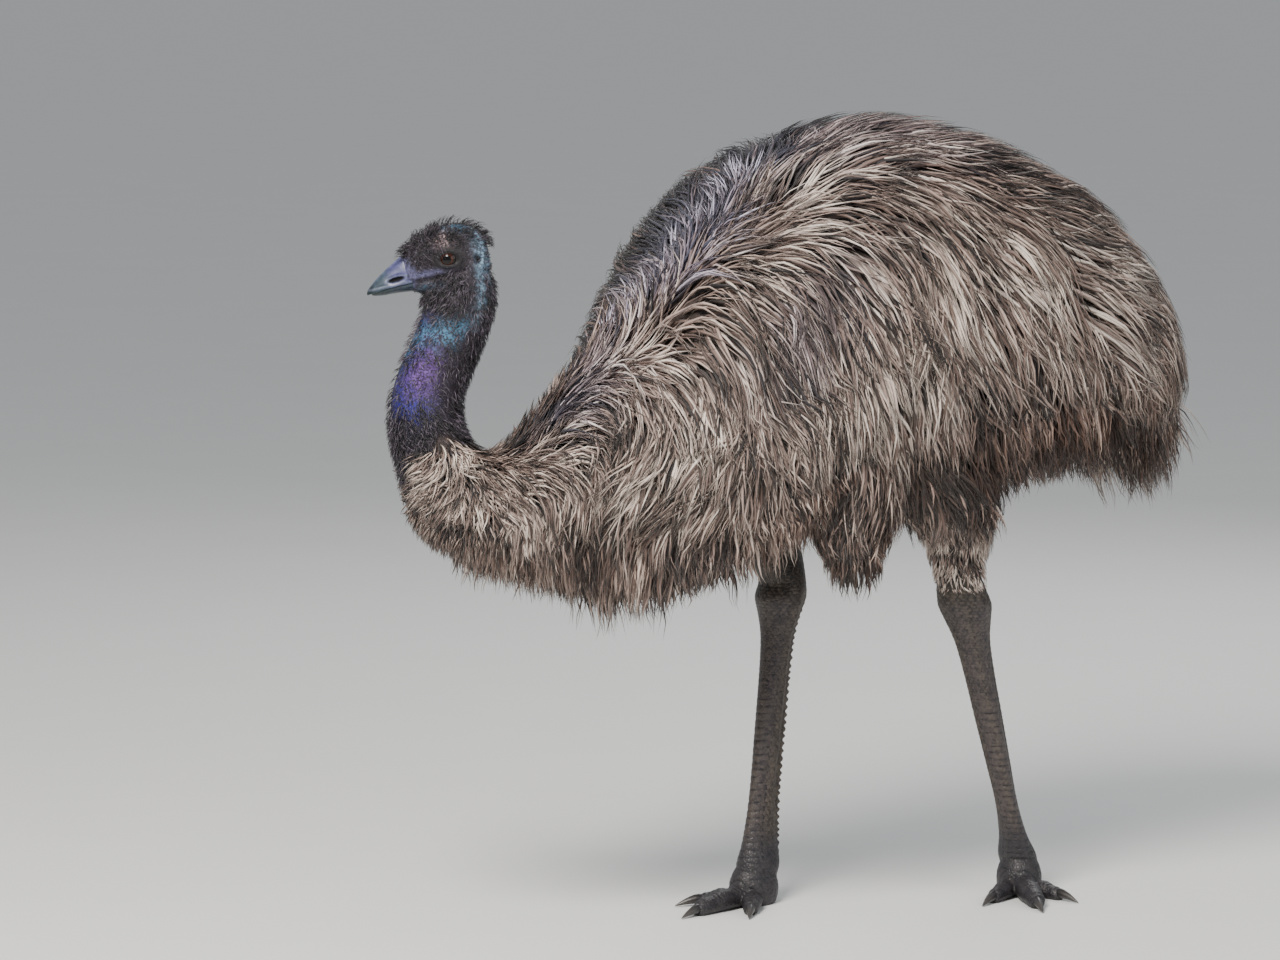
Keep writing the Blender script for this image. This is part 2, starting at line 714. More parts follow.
@dataclass(frozen=True)
class StrandMesh:
    """Builds strands as closed, three-sided, tapered vanes joined into one mesh."""

    name: str
    width: float
    thick: float

    def build(self, path: Array, normals: Array, wide: Array, look: Array, marks: Array, unwrap: Array
              ) -> Object:
        """Makes the mesh with its looks and its bake map.

        Args:
            path: Places along each strand.
            normals: The surface normals there.
            wide: How much wider or narrower each strand is.
            look: Each strand's tint, its bunch's tint and how dark its tip is.
            marks: Each strand's four markings.
            unwrap: Each root's place on an unwrap of the skin, from 0 to 1.

        Returns:
            The new object.
        """
        count, rings = path.shape[0], path.shape[1] - 1
        way = unit(np.gradient(path, axis=1))
        across = unit(np.cross(way, normals))
        rise = np.cross(across, way)
        share = np.linspace(0, 1, rings + 1)
        taper = 0.62 + 0.38 * np.sin(math.pi * np.minimum(share * 1.5, 1.0))
        taper = taper * (1 - smooth(0.45, 1.0, share) * 0.86)
        half = (0.5 * self.width * wide)[:, None, None] * taper[None, :-1, None]
        top = (self.thick * wide)[:, None, None] * taper[None, :-1, None]
        body, a, r = path[:, :-1], across[:, :-1], rise[:, :-1]
        ring = np.stack([body + a * half, body - a * half, body + r * top], 2)
        verts = np.concatenate([ring.reshape(count, rings * 3, 3), path[:, -1:]], 1)
        each = rings * 3 + 1
        faces, sizes = self.faces(rings)
        loops = (faces[None] + (np.arange(count) * each)[:, None]).ravel()
        mesh = bpy.data.meshes.new(self.name)
        mesh.vertices.add(count * each)
        write_places(mesh, verts.reshape(-1, 3))
        mesh.loops.add(len(loops))
        mesh.loops.foreach_set("vertex_index", loops.astype(np.int32))
        totals = np.tile(sizes, count).astype(np.int32)
        starts = np.concatenate([[0], np.cumsum(totals)[:-1]]).astype(np.int32)
        mesh.polygons.add(len(totals))
        mesh.polygons.foreach_set("loop_start", starts)
        mesh.polygons.foreach_set("loop_total", totals)
        mesh.update(calc_edges=True)
        mesh.shade_smooth()
        along = np.concatenate([np.repeat(share[:-1], 3), [1.0]])
        shade = np.empty((count, each, 4))
        shade[..., 0], shade[..., 1] = look[:, 0:1], along[None]
        shade[..., 2], shade[..., 3] = look[:, 1:2], look[:, 2:3]
        write_colours(mesh, "strand", shade.reshape(-1, 4))
        write_colours(mesh, "marks", np.repeat(marks, each, axis=0))
        sideways = np.concatenate([np.tile([1.0, -1.0, 0.0], rings), [0.0]])
        patch = np.stack([sideways * 0.0014, along * 0.003], -1)
        spots = (unwrap[:, None] * 0.99 + patch[None] + 0.002).reshape(-1, 2)
        layer = mesh.uv_layers.new(name="OFBake")
        layer.uv.foreach_set("vector", spots[loops].astype(np.float32).ravel())
        return add_object(self.name, mesh)

    @staticmethod
    def faces(rings: int) -> tuple[Array, Array]:
        """The corners of one strand's faces, one after another, and how many each face has.

        Args:
            rings: How many rings of three corners a strand has.

        Returns:
            The corners and the sizes.
        """
        corners, sizes = [2, 1, 0], [3]
        for k in range(rings - 1):
            for i in range(3):
                a, b = 3 * k + i, 3 * k + (i + 1) % 3
                corners += [a, b, b + 3, a + 3]
                sizes.append(4)
        last = 3 * (rings - 1)
        for i in range(3):
            corners += [last + i, last + (i + 1) % 3, 3 * rings]
            sizes.append(3)
        return np.array(corners), np.array(sizes)


def level(depth: float) -> Callable[[Array], Array]:
    """A depth that is the same all along a tube."""
    return lambda t: np.full_like(t, depth)


class Locator:
    """Finds where on some tubes the places of another mesh lie."""

    def __init__(self, tubes: Sequence[Tube], shape: tuple[int, int] = (160, 72)) -> None:
        """Samples the tubes.

        Args:
            tubes: The body or limbs.
            shape: How many samples are taken along and round each.
        """
        marks = []
        for index, tube in enumerate(tubes):
            t, phi = np.meshgrid(np.linspace(0, tube.last, shape[0]),
                                 np.linspace(-math.pi, math.pi, shape[1], endpoint=False), indexing="ij")
            places = tube.points(t.ravel(), phi.ravel())
            marks.append(np.column_stack([places, np.full(t.size, index), t.ravel(), phi.ravel()]))
        self.samples = np.concatenate(marks)
        self.tree = KDTree(len(self.samples))
        for k, row in enumerate(self.samples):
            self.tree.insert(row[:3], k)
        self.tree.balance()

    def find(self, places: Array) -> tuple[Array, Array, Array]:
        """The nearest tube's index, t and phi for each place.

        Args:
            places: The places, in millimetres.

        Returns:
            Three arrays with a number for each place.
        """
        near = np.array([self.tree.find(place)[1] for place in places])
        found = self.samples[near]
        return found[:, 3].astype(int), found[:, 4], found[:, 5]


class Nodes:
    """A node tree while it is put together."""

    def __init__(self, tree: NodeTree) -> None:
        """Keeps the tree."""
        self.tree = tree

    def add(self, kind: str, **settings: object) -> Node:
        """Adds a node, with its settings by name.

        Args:
            kind: The node's type.
            settings: Its settings.

        Returns:
            The node.
        """
        node = self.tree.nodes.new(kind)
        for key, value in settings.items():
            setattr(node, key, value)
        return node

    def join(self, source: Socket, target: Socket) -> None:
        """Links two sockets."""
        self.tree.links.new(source, target)

    def mix(self, share: Socket, a: Socket | Colour, b: Socket | Colour, blend: str = "MIX") -> Socket:
        """Mixes two colours.

        Args:
            share: How much of the second there is.
            a: The first colour.
            b: The second colour.
            blend: How they are mixed.

        Returns:
            The mixed colour's socket.
        """
        node = self.add("ShaderNodeMix", data_type="RGBA", blend_type=blend, clamp_result=True)
        self.join(share, node.inputs["Factor"])
        for socket, value in (("A", a), ("B", b)):
            target = [s for s in node.inputs if s.name == socket and s.type == "RGBA"][0]
            if isinstance(value, tuple):
                target.default_value = (*value, 1.0)
            else:
                self.join(value, target)
        return [s for s in node.outputs if s.type == "RGBA"][0]

    def times(self, a: Socket, b: Socket, strength: float = 1.0) -> Socket:
        """One colour darkened by another.

        Args:
            a: The colour.
            b: What it is multiplied by.
            strength: How strong the effect is.

        Returns:
            The result's socket.
        """
        node = self.add("ShaderNodeMix", data_type="RGBA", blend_type="MULTIPLY")
        node.inputs["Factor"].default_value = strength
        self.join(a, node.inputs[6])
        self.join(b, node.inputs[7])
        return node.outputs[2]

    def sums(self, a: Socket, b: Socket | float, work: str) -> Socket:
        """One step of arithmetic with two numbers.

        Args:
            a: The first number.
            b: The second number.
            work: The operation.

        Returns:
            The result's socket.
        """
        node = self.add("ShaderNodeMath", operation=work)
        self.join(a, node.inputs[0])
        if isinstance(b, float):
            node.inputs[1].default_value = b
        else:
            self.join(b, node.inputs[1])
        return node.outputs[0]

    def ramp(self, share: Socket, stops: Sequence[tuple[float, Colour | float]]) -> Socket:
        """A colour, or a grey where a stop is one number, that changes with a number through stops.

        Args:
            share: The number.
            stops: Where each stop is and its colour, in rising order.

        Returns:
            The colour's socket.
        """
        node = self.add("ShaderNodeValToRGB")
        elements = node.color_ramp.elements
        while len(elements) < len(stops):
            elements.new(0.5)
        for element, (at, colour) in zip(elements, stops):
            element.position = at
            element.color = (*(colour if isinstance(colour, tuple) else (colour,) * 3), 1.0)
        self.join(share, node.inputs["Fac"])
        return node.outputs["Color"]


class Group(Nodes):
    """A shader node group while it is put together."""

    def __init__(self, name: str, inputs: dict[str, str], outputs: dict[str, str]) -> None:
        """Starts a group.

        Args:
            name: The effect's name.
            inputs: The kind of each input socket, by name.
            outputs: The kind of each output socket, by name.
        """
        super().__init__(bpy.data.node_groups.new(name, "ShaderNodeTree"))
        for way, sockets in (("INPUT", inputs), ("OUTPUT", outputs)):
            for socket, kind in sockets.items():
                self.tree.interface.new_socket(socket, in_out=way, socket_type=f"NodeSocket{kind}")
        self.given = self.add("NodeGroupInput").outputs
        self.out = self.add("NodeGroupOutput").inputs

    def texture(self, kind: str, **settings: object) -> Node:
        """Adds a texture over object space, at the group's own scale.

        Args:
            kind: The texture's type.
            settings: Its settings.

        Returns:
            The texture's node.
        """
        node = self.add(kind, **settings)
        self.join(self.add("ShaderNodeTexCoord").outputs["Object"], node.inputs["Vector"])
        self.join(self.given["Scale"], node.inputs["Scale"])
        return node


def plumage_group() -> NodeTree:
    """The colours of plumage from a strand's tint and the body's markings, for coat and skin alike.

    Returns:
        The group.
    """
    group = Group("plumage", {"Tint": "Float", "Marks": "Color", "Dark": "Float"}, {"Color": "Color"})
    tint = group.given["Tint"]
    parts = group.add("ShaderNodeSeparateColor")
    group.join(group.given["Marks"], parts.inputs["Color"])
    pale, rust, blue = parts.outputs
    lighter = group.sums(group.sums(pale, 0.62, "MULTIPLY"), tint, "MULTIPLY")
    darker = group.sums(group.given["Dark"], 0.58, "MULTIPLY")
    tone = group.sums(group.sums(tint, lighter, "ADD"), darker, "SUBTRACT")
    colour = group.ramp(tone, [(0.0, (0.010, 0.006, 0.006)), (0.2, (0.042, 0.027, 0.022)),
                               (0.42, (0.198, 0.130, 0.106)), (0.66, (0.53, 0.395, 0.335)),
                               (1.0, (0.92, 0.79, 0.69))])
    for share, strength, other, blend in (
            (rust, 0.55, (0.62, 0.36, 0.24), "MULTIPLY"), (rust, 0.22, (0.20, 0.085, 0.04), "MIX"),
            (blue, 0.85, (0.74, 0.86, 1.35), "MULTIPLY"), (blue, 0.18, (0.30, 0.33, 0.55), "MIX")):
        colour = group.mix(group.sums(share, strength, "MULTIPLY"), colour, other, blend)
    group.join(colour, group.out["Color"])
    return group.tree


def grain_group() -> NodeTree:
    """Fine mottling in object space, as a colour multiplier and a height.

    Returns:
        The group.
    """
    group = Group("grain", {"Scale": "Float", "Depth": "Float", "Color": "Color"},
                  {"Color": "Color", "Height": "Float"})
    noise = group.texture("ShaderNodeTexNoise")
    noise.inputs["Detail"].default_value = 4.0
    noise.inputs["Roughness"].default_value = 0.62
    shade = group.ramp(noise.outputs["Fac"], [(0.30, 0.28), (0.68, 1.0)])
    group.join(group.mix(group.given["Depth"], group.given["Color"], shade, "MULTIPLY"), group.out["Color"])
    group.join(noise.outputs["Fac"], group.out["Height"])
    return group.tree


def cells_group() -> NodeTree:
    """Small rounded scales in object space, as a shade and a height.

    Returns:
        The group.
    """
    group = Group("cells", {"Scale": "Float"}, {"Shade": "Float", "Height": "Float"})
    cells = group.texture("ShaderNodeTexVoronoi", feature="DISTANCE_TO_EDGE")
    tone = group.texture("ShaderNodeTexVoronoi", feature="F1")
    hue = group.add("ShaderNodeSeparateColor")
    group.join(tone.outputs["Color"], hue.inputs["Color"])
    rounded = group.add("ShaderNodeMapRange", interpolation_type="SMOOTHSTEP")
    rounded.inputs["From Max"].default_value = 0.22
    group.join(cells.outputs["Distance"], rounded.inputs["Value"])
    group.join(hue.outputs[0], group.out["Shade"])
    group.join(rounded.outputs["Result"], group.out["Height"])
    return group.tree


class Paint(Nodes):
    """A material while its nodes are put together."""

    def __init__(self, name: str, roughness: float, **sockets: float | tuple[float, ...]) -> None:
        """Starts a material with a Principled shader.

        Args:
            name: The finish's name.
            roughness: How dull it is.
            sockets: Other constants of the shader, by socket name with underscores for spaces.
        """
        self.material = bpy.data.materials.new(name)
        self.material.use_nodes = True
        super().__init__(self.material.node_tree)
        self.shader = self.tree.nodes["Principled BSDF"]
        self.shader.inputs["Roughness"].default_value = roughness
        for socket, value in sockets.items():
            self.shader.inputs[socket.replace("_", " ")].default_value = value

    def group(self, tree: NodeTree, **values: float | tuple[float, ...]) -> Node:
        """Places a node group with its own values.

        Args:
            tree: The group.
            values: Its inputs' values, by name.

        Returns:
            The group's node.
        """
        node = self.add("ShaderNodeGroup", node_tree=tree)
        for socket, value in values.items():
            node.inputs[socket].default_value = value
        return node

    def plumage(self, **values: float) -> Node:
        """Places the plumage's node group, with the markings written on the mesh.

        Args:
            values: Its inputs' values, by name.

        Returns:
            The group's node.
        """
        marks, node = self.add("ShaderNodeAttribute", attribute_name="marks"), self.group(PLUMAGE, **values)
        self.join(marks.outputs["Color"], node.inputs["Marks"])
        self.join(marks.outputs["Alpha"], node.inputs["Dark"])
        return node

    def grain(self, colour: Socket, scale: float, depth: float) -> Node:
        """Places the grain's node group over a colour.

        Args:
            colour: The colour.
            scale: How fine the grain is.
            depth: How dark its mottles are.

        Returns:
            The group's node.
        """
        node = self.group(GRAIN, Scale=scale, Depth=depth)
        self.join(colour, node.inputs["Color"])
        return node

    def split(self, name: str) -> tuple[Socket, ...]:
        """The red, green, blue and alpha numbers of a mesh attribute.

        Args:
            name: The attribute's name.

        Returns:
            Four sockets.
        """
        read = self.add("ShaderNodeAttribute", attribute_name=name)
        parts = self.add("ShaderNodeSeparateColor")
        self.join(read.outputs["Color"], parts.inputs["Color"])
        return (*parts.outputs, read.outputs["Alpha"])

    def bump(self, height: Socket, depth: float, strength: float) -> None:
        """Raises the surface a little by a height from 0 to 1.

        Args:
            height: The height.
            depth: How high 1 is, in millimetres.
            strength: How strong the effect is.
        """
        node = self.add("ShaderNodeBump")
        node.inputs["Strength"].default_value = strength
        node.inputs["Distance"].default_value = depth * METRES
        self.join(height, node.inputs["Height"])
        self.join(node.outputs["Normal"], self.shader.inputs["Normal"])

    def colour(self, source: Socket) -> None:
        """Sets what gives the base colour."""
        self.join(source, self.shader.inputs["Base Color"])

    def finish(self, colour: Socket, scale: float, depth: float, relief: float, strength: float) -> Material:
        """Mottles the colour with grain, raises the surface by the same grain and hands over the material.

        Args:
            colour: The colour before mottling.
            scale: How fine the grain is.
            depth: How dark its mottles are.
            relief: How high it stands, in millimetres.
            strength: How strong the relief is.

        Returns:
            The material.
        """
        grain = self.grain(colour, scale, depth)
        self.colour(grain.outputs["Color"])
        self.bump(grain.outputs["Height"], relief, strength)
        return self.material


PLUMAGE = plumage_group()
GRAIN = grain_group()
CELLS = cells_group()


@dataclass(frozen=True)
class PlumageFinish:
    """Loose, hair-like body feathers: tinted strand by strand, shaded to root and tip."""

    name: str = "plumage"
    roughness: float = 0.62
    root: float = 0.15
    tip: float = 0.08

    def build(self) -> Material:
        """Makes the material.

        Returns:
            The material.
        """
        paint = Paint(self.name, self.roughness, Sheen_Weight=0.12, Sheen_Roughness=0.4)
        tint, along, bunch, tipped = paint.split("strand")
        own = paint.sums(tint, 0.6, "MULTIPLY")
        shared = paint.sums(bunch, 0.52, "MULTIPLY")
        colours = paint.plumage()
        paint.join(paint.sums(paint.sums(own, shared, "ADD"), 0.05, "SUBTRACT"), colours.inputs["Tint"])
        rooted = paint.ramp(along, [(0.05, self.root), (0.34, 1.0)])
        ended = paint.ramp(along, [(0.60, 1.0), (0.88, self.tip)])
        shade = paint.mix(tipped, rooted, paint.times(rooted, ended))
        return paint.finish(paint.times(colours.outputs["Color"], shade), 260.0, 0.35, 0.3, 0.5)


@dataclass(frozen=True)
class BristleFinish:
    """Short black hair-like feathers of the head and neck."""

    name: str = "bristles"
    colour: Colour = (0.006, 0.005, 0.007)
    middle: Colour = (0.032, 0.024, 0.036)
    light: Colour = (0.17, 0.135, 0.18)
    roughness: float = 0.5

    def build(self) -> Material:
        """Makes the material.

        Returns:
            The material.
        """
        paint = Paint(self.name, self.roughness, Sheen_Weight=0.1)
        tint, _, _, _ = paint.split("strand")
        colour = paint.ramp(tint, [(0.3, self.colour), (0.72, self.middle), (0.95, self.light)])
        return paint.finish(colour, 420.0, 0.3, 0.2, 0.4)


@dataclass(frozen=True)
class SkinFinish:
    """Skin under the plumage, and bare blue skin with fine folds on the head and neck."""

    name: str = "skin"
    roughness: float = 0.5
    bare: Colour = (0.020, 0.013, 0.020)
    sky: Colour = (0.28, 0.44, 0.60)
    violet: Colour = (0.185, 0.075, 0.37)
    deep: Colour = (0.016, 0.020, 0.26)
    turquoise: Colour = (0.07, 0.23, 0.38)
    brow: Colour = (0.42, 0.29, 0.29)
    lore: Colour = (0.12, 0.12, 0.25)
    fleck: Colour = (0.26, 0.24, 0.34)
    hole: Colour = (0.006, 0.005, 0.006)

    def build(self) -> Material:
        """Makes the material.

        Returns:
            The material.
        """
        paint = Paint(self.name, self.roughness, Specular_IOR_Level=0.35)
        covered = paint.plumage(Tint=0.22)
        sky, violet, turquoise, bare = paint.split("bare")
        brow, deep, hollow, lore = paint.split("face")
        speckle = paint.group(GRAIN, Scale=360.0)
        spots = paint.ramp(speckle.outputs["Height"], [(0.44, 0.05), (0.55, 1.0)])
        colour = self.bare
        for share, strength, tone in ((deep, 1.0, self.deep), (turquoise, 1.0, self.turquoise),
                                      (violet, 1.0, self.violet), (sky, 0.75, self.sky),
                                      (brow, 1.0, self.brow), (lore, 0.5, self.lore)):
            colour = paint.mix(paint.times(share, spots, strength), colour, tone)
        fleck = paint.group(GRAIN, Scale=560.0)
        flecks = paint.ramp(fleck.outputs["Height"], [(0.56, 0.0), (0.66, 0.55)])
        colour = paint.mix(flecks, colour, self.fleck)
        colour = paint.mix(hollow, colour, self.hole)
        colour = paint.mix(bare, covered.outputs["Color"], colour)
        grain = paint.grain(colour, 150.0, 0.5)
        cells = paint.group(CELLS, Scale=620.0)
        shade = paint.ramp(cells.outputs["Height"], [(0.0, 0.45), (0.6, 1.0)])
        paint.colour(paint.times(grain.outputs["Color"], shade, 0.45))
        paint.bump(paint.sums(cells.outputs["Height"], grain.outputs["Height"], "ADD"), 0.3, 0.6)
        return paint.material


@dataclass(frozen=True)
class HornFinish:
    """Steel-grey horn of the bill, bluer at its base and darker at its tip and edges."""

    name: str = "bill_horn"
    roughness: float = 0.36
    base: Colour = (0.070, 0.072, 0.185)
    middle: Colour = (0.045, 0.068, 0.095)
    tip: Colour = (0.010, 0.016, 0.018)
    under: Colour = (0.011, 0.028, 0.034)
    ridge: Colour = (0.27, 0.30, 0.44)
    inside: Colour = (0.004, 0.004, 0.005)

    def build(self) -> Material:
        """Makes the material.

        Returns:
            The material.
        """
        paint = Paint(self.name, self.roughness)
        along, ridge, hollow, under = paint.split("horn")
        colour = paint.ramp(along, [(0.4, self.base), (0.62, self.middle), (0.82, self.middle),
                                    (0.93, self.tip)])
        colour = paint.mix(under, colour, self.under)
        colour = paint.mix(ridge, colour, self.ridge)
        dull = paint.ramp(hollow, [(0.0, self.roughness), (0.6, 1.0)])
        paint.join(dull, paint.shader.inputs["Roughness"])
        return paint.finish(paint.mix(hollow, colour, self.inside), 190.0, 0.75, 0.35, 0.5)


@dataclass(frozen=True)
class EyeFinish:
    """A wet eye with a dark pupil in a brown-orange iris."""

    name: str = "wet_eye"
    roughness: float = 0.06
    pupil: Colour = (0.003, 0.003, 0.003)
    inner: Colour = (0.050, 0.013, 0.006)
    outer: Colour = (0.022, 0.007, 0.005)
    rim: Colour = (0.012, 0.009, 0.008)

    def build(self) -> Material:
        """Makes the material.

        Returns:
            The material.
        """
        paint = Paint(self.name, self.roughness, Specular_IOR_Level=0.0, Coat_Weight=0.6,
                      Coat_Roughness=0.02)
        off, spoke, _, _ = paint.split("iris")
        colour = paint.ramp(off, [(0.30, self.pupil), (0.34, self.inner), (0.5, self.outer),
                                  (0.6, self.rim)])
        streak = paint.ramp(spoke, [(0.2, 0.55), (0.8, 1.0)])
        paint.colour(paint.times(colour, streak, 0.8))
        return paint.material


@dataclass(frozen=True)
class ScaleFinish:
    """Dull horny scales of the legs and toes, dark in the grooves and bluish along the front."""

    name: str = "scaly_leg"
    roughness: float = 0.45
    low: Colour = (0.012, 0.009, 0.0075)
    high: Colour = (0.098, 0.076, 0.058)
    front: Colour = (0.036, 0.032, 0.058)
    toe: Colour = (0.018, 0.019, 0.028)

    def build(self) -> Material:
        """Makes the material.

        Returns:
            The material.
        """
        paint = Paint(self.name, self.roughness, Specular_IOR_Level=0.4)
        height, front, toe, _ = paint.split("scale")
        cells = paint.group(CELLS, Scale=210.0)
        tone = paint.sums(cells.outputs["Shade"], 0.55, "MULTIPLY")
        tone = paint.sums(tone, paint.sums(height, 0.45, "MULTIPLY"), "ADD")
        colour = paint.ramp(tone, [(0.1, self.low), (0.8, self.high)])
        colour = paint.mix(paint.sums(front, 0.3, "MULTIPLY"), colour, self.front)
        colour = paint.mix(paint.sums(toe, 0.75, "MULTIPLY"), colour, self.toe)
        deep = paint.ramp(height, [(0.0, 0.35), (0.6, 1.0)])
        grain = paint.grain(paint.times(colour, deep), 120.0, 0.5)
        paint.colour(grain.outputs["Color"])
        paint.bump(paint.sums(cells.outputs["Height"], grain.outputs["Height"], "ADD"), 0.5, 0.7)
        return paint.material


@dataclass(frozen=True)
class ClawFinish:
    """Near-black worn horn of the claws."""

    name: str = "claw_horn"
    roughness: float = 0.38
    colour: Colour = (0.022, 0.020, 0.021)
    worn: Colour = (0.10, 0.09, 0.082)

    def build(self) -> Material:
        """Makes the material.

        Returns:
            The material.
        """
        paint = Paint(self.name, self.roughness, Coat_Weight=0.1)
        along, _, _, _ = paint.split("horn")
        return paint.finish(paint.ramp(along, [(0.2, self.colour), (1.0, self.worn)]), 160.0, 0.6, 0.4, 0.6)


class Finish(Enum):
    """Every finish on the bird, built once."""

    PLUMAGE = PlumageFinish()
    BRISTLES = BristleFinish()
    SKIN = SkinFinish()
    HORN = HornFinish()
    EYE = EyeFinish()
    SCALES = ScaleFinish()
    CLAWS = ClawFinish()

    @cache
    def material(self) -> Material:
        """The finish's material, made the first time that it is asked for."""
        return self.value.build()

    def on(self, made: Object) -> None:
        """Dresses a piece in this finish."""
        made.data.materials.clear()
        made.data.materials.append(self.material())


def place_piece(made: Object, finish: Finish, nodes: Sequence[str] = ()) -> None:
    """Dresses a piece, ties it to the body and reports it.

    Args:
        made: The piece.
        finish: Its finish.
        nodes: The solids that it takes the place of.
    """
    finish.on(made)
    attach(made, BODY_NAME)
    if nodes:
        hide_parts(*nodes)
    LOG.info("%s: %d faces", made.name, len(made.data.polygons))


@dataclass(frozen=True)
class HeadPlace:
    """Where the head is: a point between the eyes, and which way it points."""

    origin: tuple[float, float, float] = (-32.0, -628.0, 886.0)
    pitch: float = -13.0
    yaw: float = 30.0

    @property
    def basis(self) -> Array:
        """The ways ahead, to the left and up, as rows."""
        return np.stack([way[0] for way in headings(np.array([self.pitch]), np.array([self.yaw]))])

    def out(self, local: Array | Sequence[float]) -> Array:
        """Places in the drawing frame from measures ahead, left and up."""
        return np.array(self.origin) + np.asarray(local, float) @ self.basis

    def into(self, places: Array) -> Array:
        """Measures ahead, left and up of places in the drawing frame."""
        return (places - np.array(self.origin)) @ self.basis.T

    def section(self, ahead: float, half: float, top: float, low: float, full: float = 2.0) -> Section:
        """A section of the head between two heights.

        Args:
            ahead: How far ahead of the eyes it lies.
            half: Its half width.
            top: Its upper height.
            low: Its lower height.
            full: How full its corners are.

        Returns:
            The section.
        """
        x, y, z = self.out((ahead, 0.0, (top + low) / 2))
        high = (top - low) / 2
        return Section(y, z, high, high, half, x=x, full=full, pitch=self.pitch, yaw=self.yaw)


HEAD = HeadPlace()
EYE_OUT = 18.5
EYE_RADIUS = 14.5


def ball(bm: BMesh, centre: Sequence[float], size: Sequence[float], basis: Array,
         segments: tuple[int, int] = (24, 14)) -> list[bmesh.types.BMVert]:
    """Adds an ellipsoid.

    Args:
        bm: The mesh that it is added to.
        centre: Its middle.
        size: Its half axes.
        basis: The ways of its axes, as rows.
        segments: How many faces it has round and from pole to pole.

    Returns:
        Its vertices.
    """
    matrix = Matrix(basis.T.tolist()).to_4x4() @ Matrix.Diagonal((*size, 1.0))
    matrix = Matrix.Translation(Vector(centre)) @ matrix
    return bmesh.ops.create_uvsphere(bm, u_segments=segments[0], v_segments=segments[1], radius=1.0,
                                     matrix=matrix)["verts"]


SKULL = Tube([
    HEAD.section(-51, 12, 12, -18),
    HEAD.section(-44, 22, 26, -33),
    HEAD.section(-27, 29, 37, -41),
    HEAD.section(-5, 31, 41, -42),
    HEAD.section(18, 28, 38, -41),
    HEAD.section(36, 22, 33, -38),
    HEAD.section(50, 18, 25, -34),
    HEAD.section(57, 16, 18, -31),
])
BODY = Tube(TRUNK)


@dataclass(frozen=True)
class LegPose:
    """Where a leg's knee, calf, hock and foot are, how far the foot turns to the left, and its knuckle.

    The knuckle is the bare leg above the hock. A row is its share of the way up to the calf, its half
    depth and half width, and how far it is set back.
    """

    side: Side
    knee: tuple[float, float, float]
    calf: tuple[float, float, float]
    hock: tuple[float, float, float]
    foot: tuple[float, float]
    turn: float
    knuckle: tuple[tuple[float, float, float, float], ...]

    def ways(self, spread: float = 0.0) -> tuple[Array, Array]:
        """The level ways ahead and across for the foot or a toe that spreads from it by some degrees.

        Args:
            spread: How many degrees the toe spreads to the outside.

        Returns:
            Two vectors of length one.
        """
        turn = math.radians(self.turn + spread * self.side.value)
        sine, cosine = math.sin(turn), math.cos(turn)
        return np.array([sine, -cosine, 0.0]), np.array([cosine, sine, 0.0])

    def drumstick(self) -> Tube:
        """The feathered upper leg, from the knee down to the hock.

        Returns:
            The tube.
        """
        knots = np.array([self.knee, self.calf, self.hock])
        knots = np.concatenate([2 * knots[:1] - knots[1:2], knots, 2 * knots[-1:] - knots[-2:-1]])
        rows = []
        for at, deep, wide in ((0, 100, 66), (0.3, 84, 60), (0.6, 52, 44), (0.85, 36, 33), (1, 31, 31)):
            i = min(int(at * 2), 1)
            x, y, z = curve(knots[i:i + 4], at * 2 - i)
            rows.append(Section(y, z, deep, deep, wide, x=x, pitch=-90))
        return Tube(rows)


LEFT_LEG = LegPose(Side.LEFT, (112, -10, 640), (94, 66, 530), (78, 97, 424), (74, 198), 66,
                   ((0.45, 22, 20, 0), (0.15, 28, 28, 0)))
RIGHT_LEG = LegPose(Side.RIGHT, (-112, -172, 640), (-104, -145, 535), (-79, -86, 430), (-49, -144), 18,
                    ((1.25, 60, 34, 20), (0.9, 60, 34, 20), (0.55, 56, 34, 18), (0.25, 43, 33, 10)))
LEFT_THIGH, RIGHT_THIGH = LEFT_LEG.drumstick(), RIGHT_LEG.drumstick()
TUFT = Tube([
    Section(-114, 668, 44, 44, 34, x=128, pitch=-90),
    Section(-112, 618, 52, 50, 38, x=134, pitch=-90),
    Section(-110, 568, 58, 54, 40, x=134, pitch=-90),
    Section(-108, 520, 54, 50, 38, x=130, pitch=-90),
    Section(-106, 492, 34, 32, 26, x=126, pitch=-90),
])


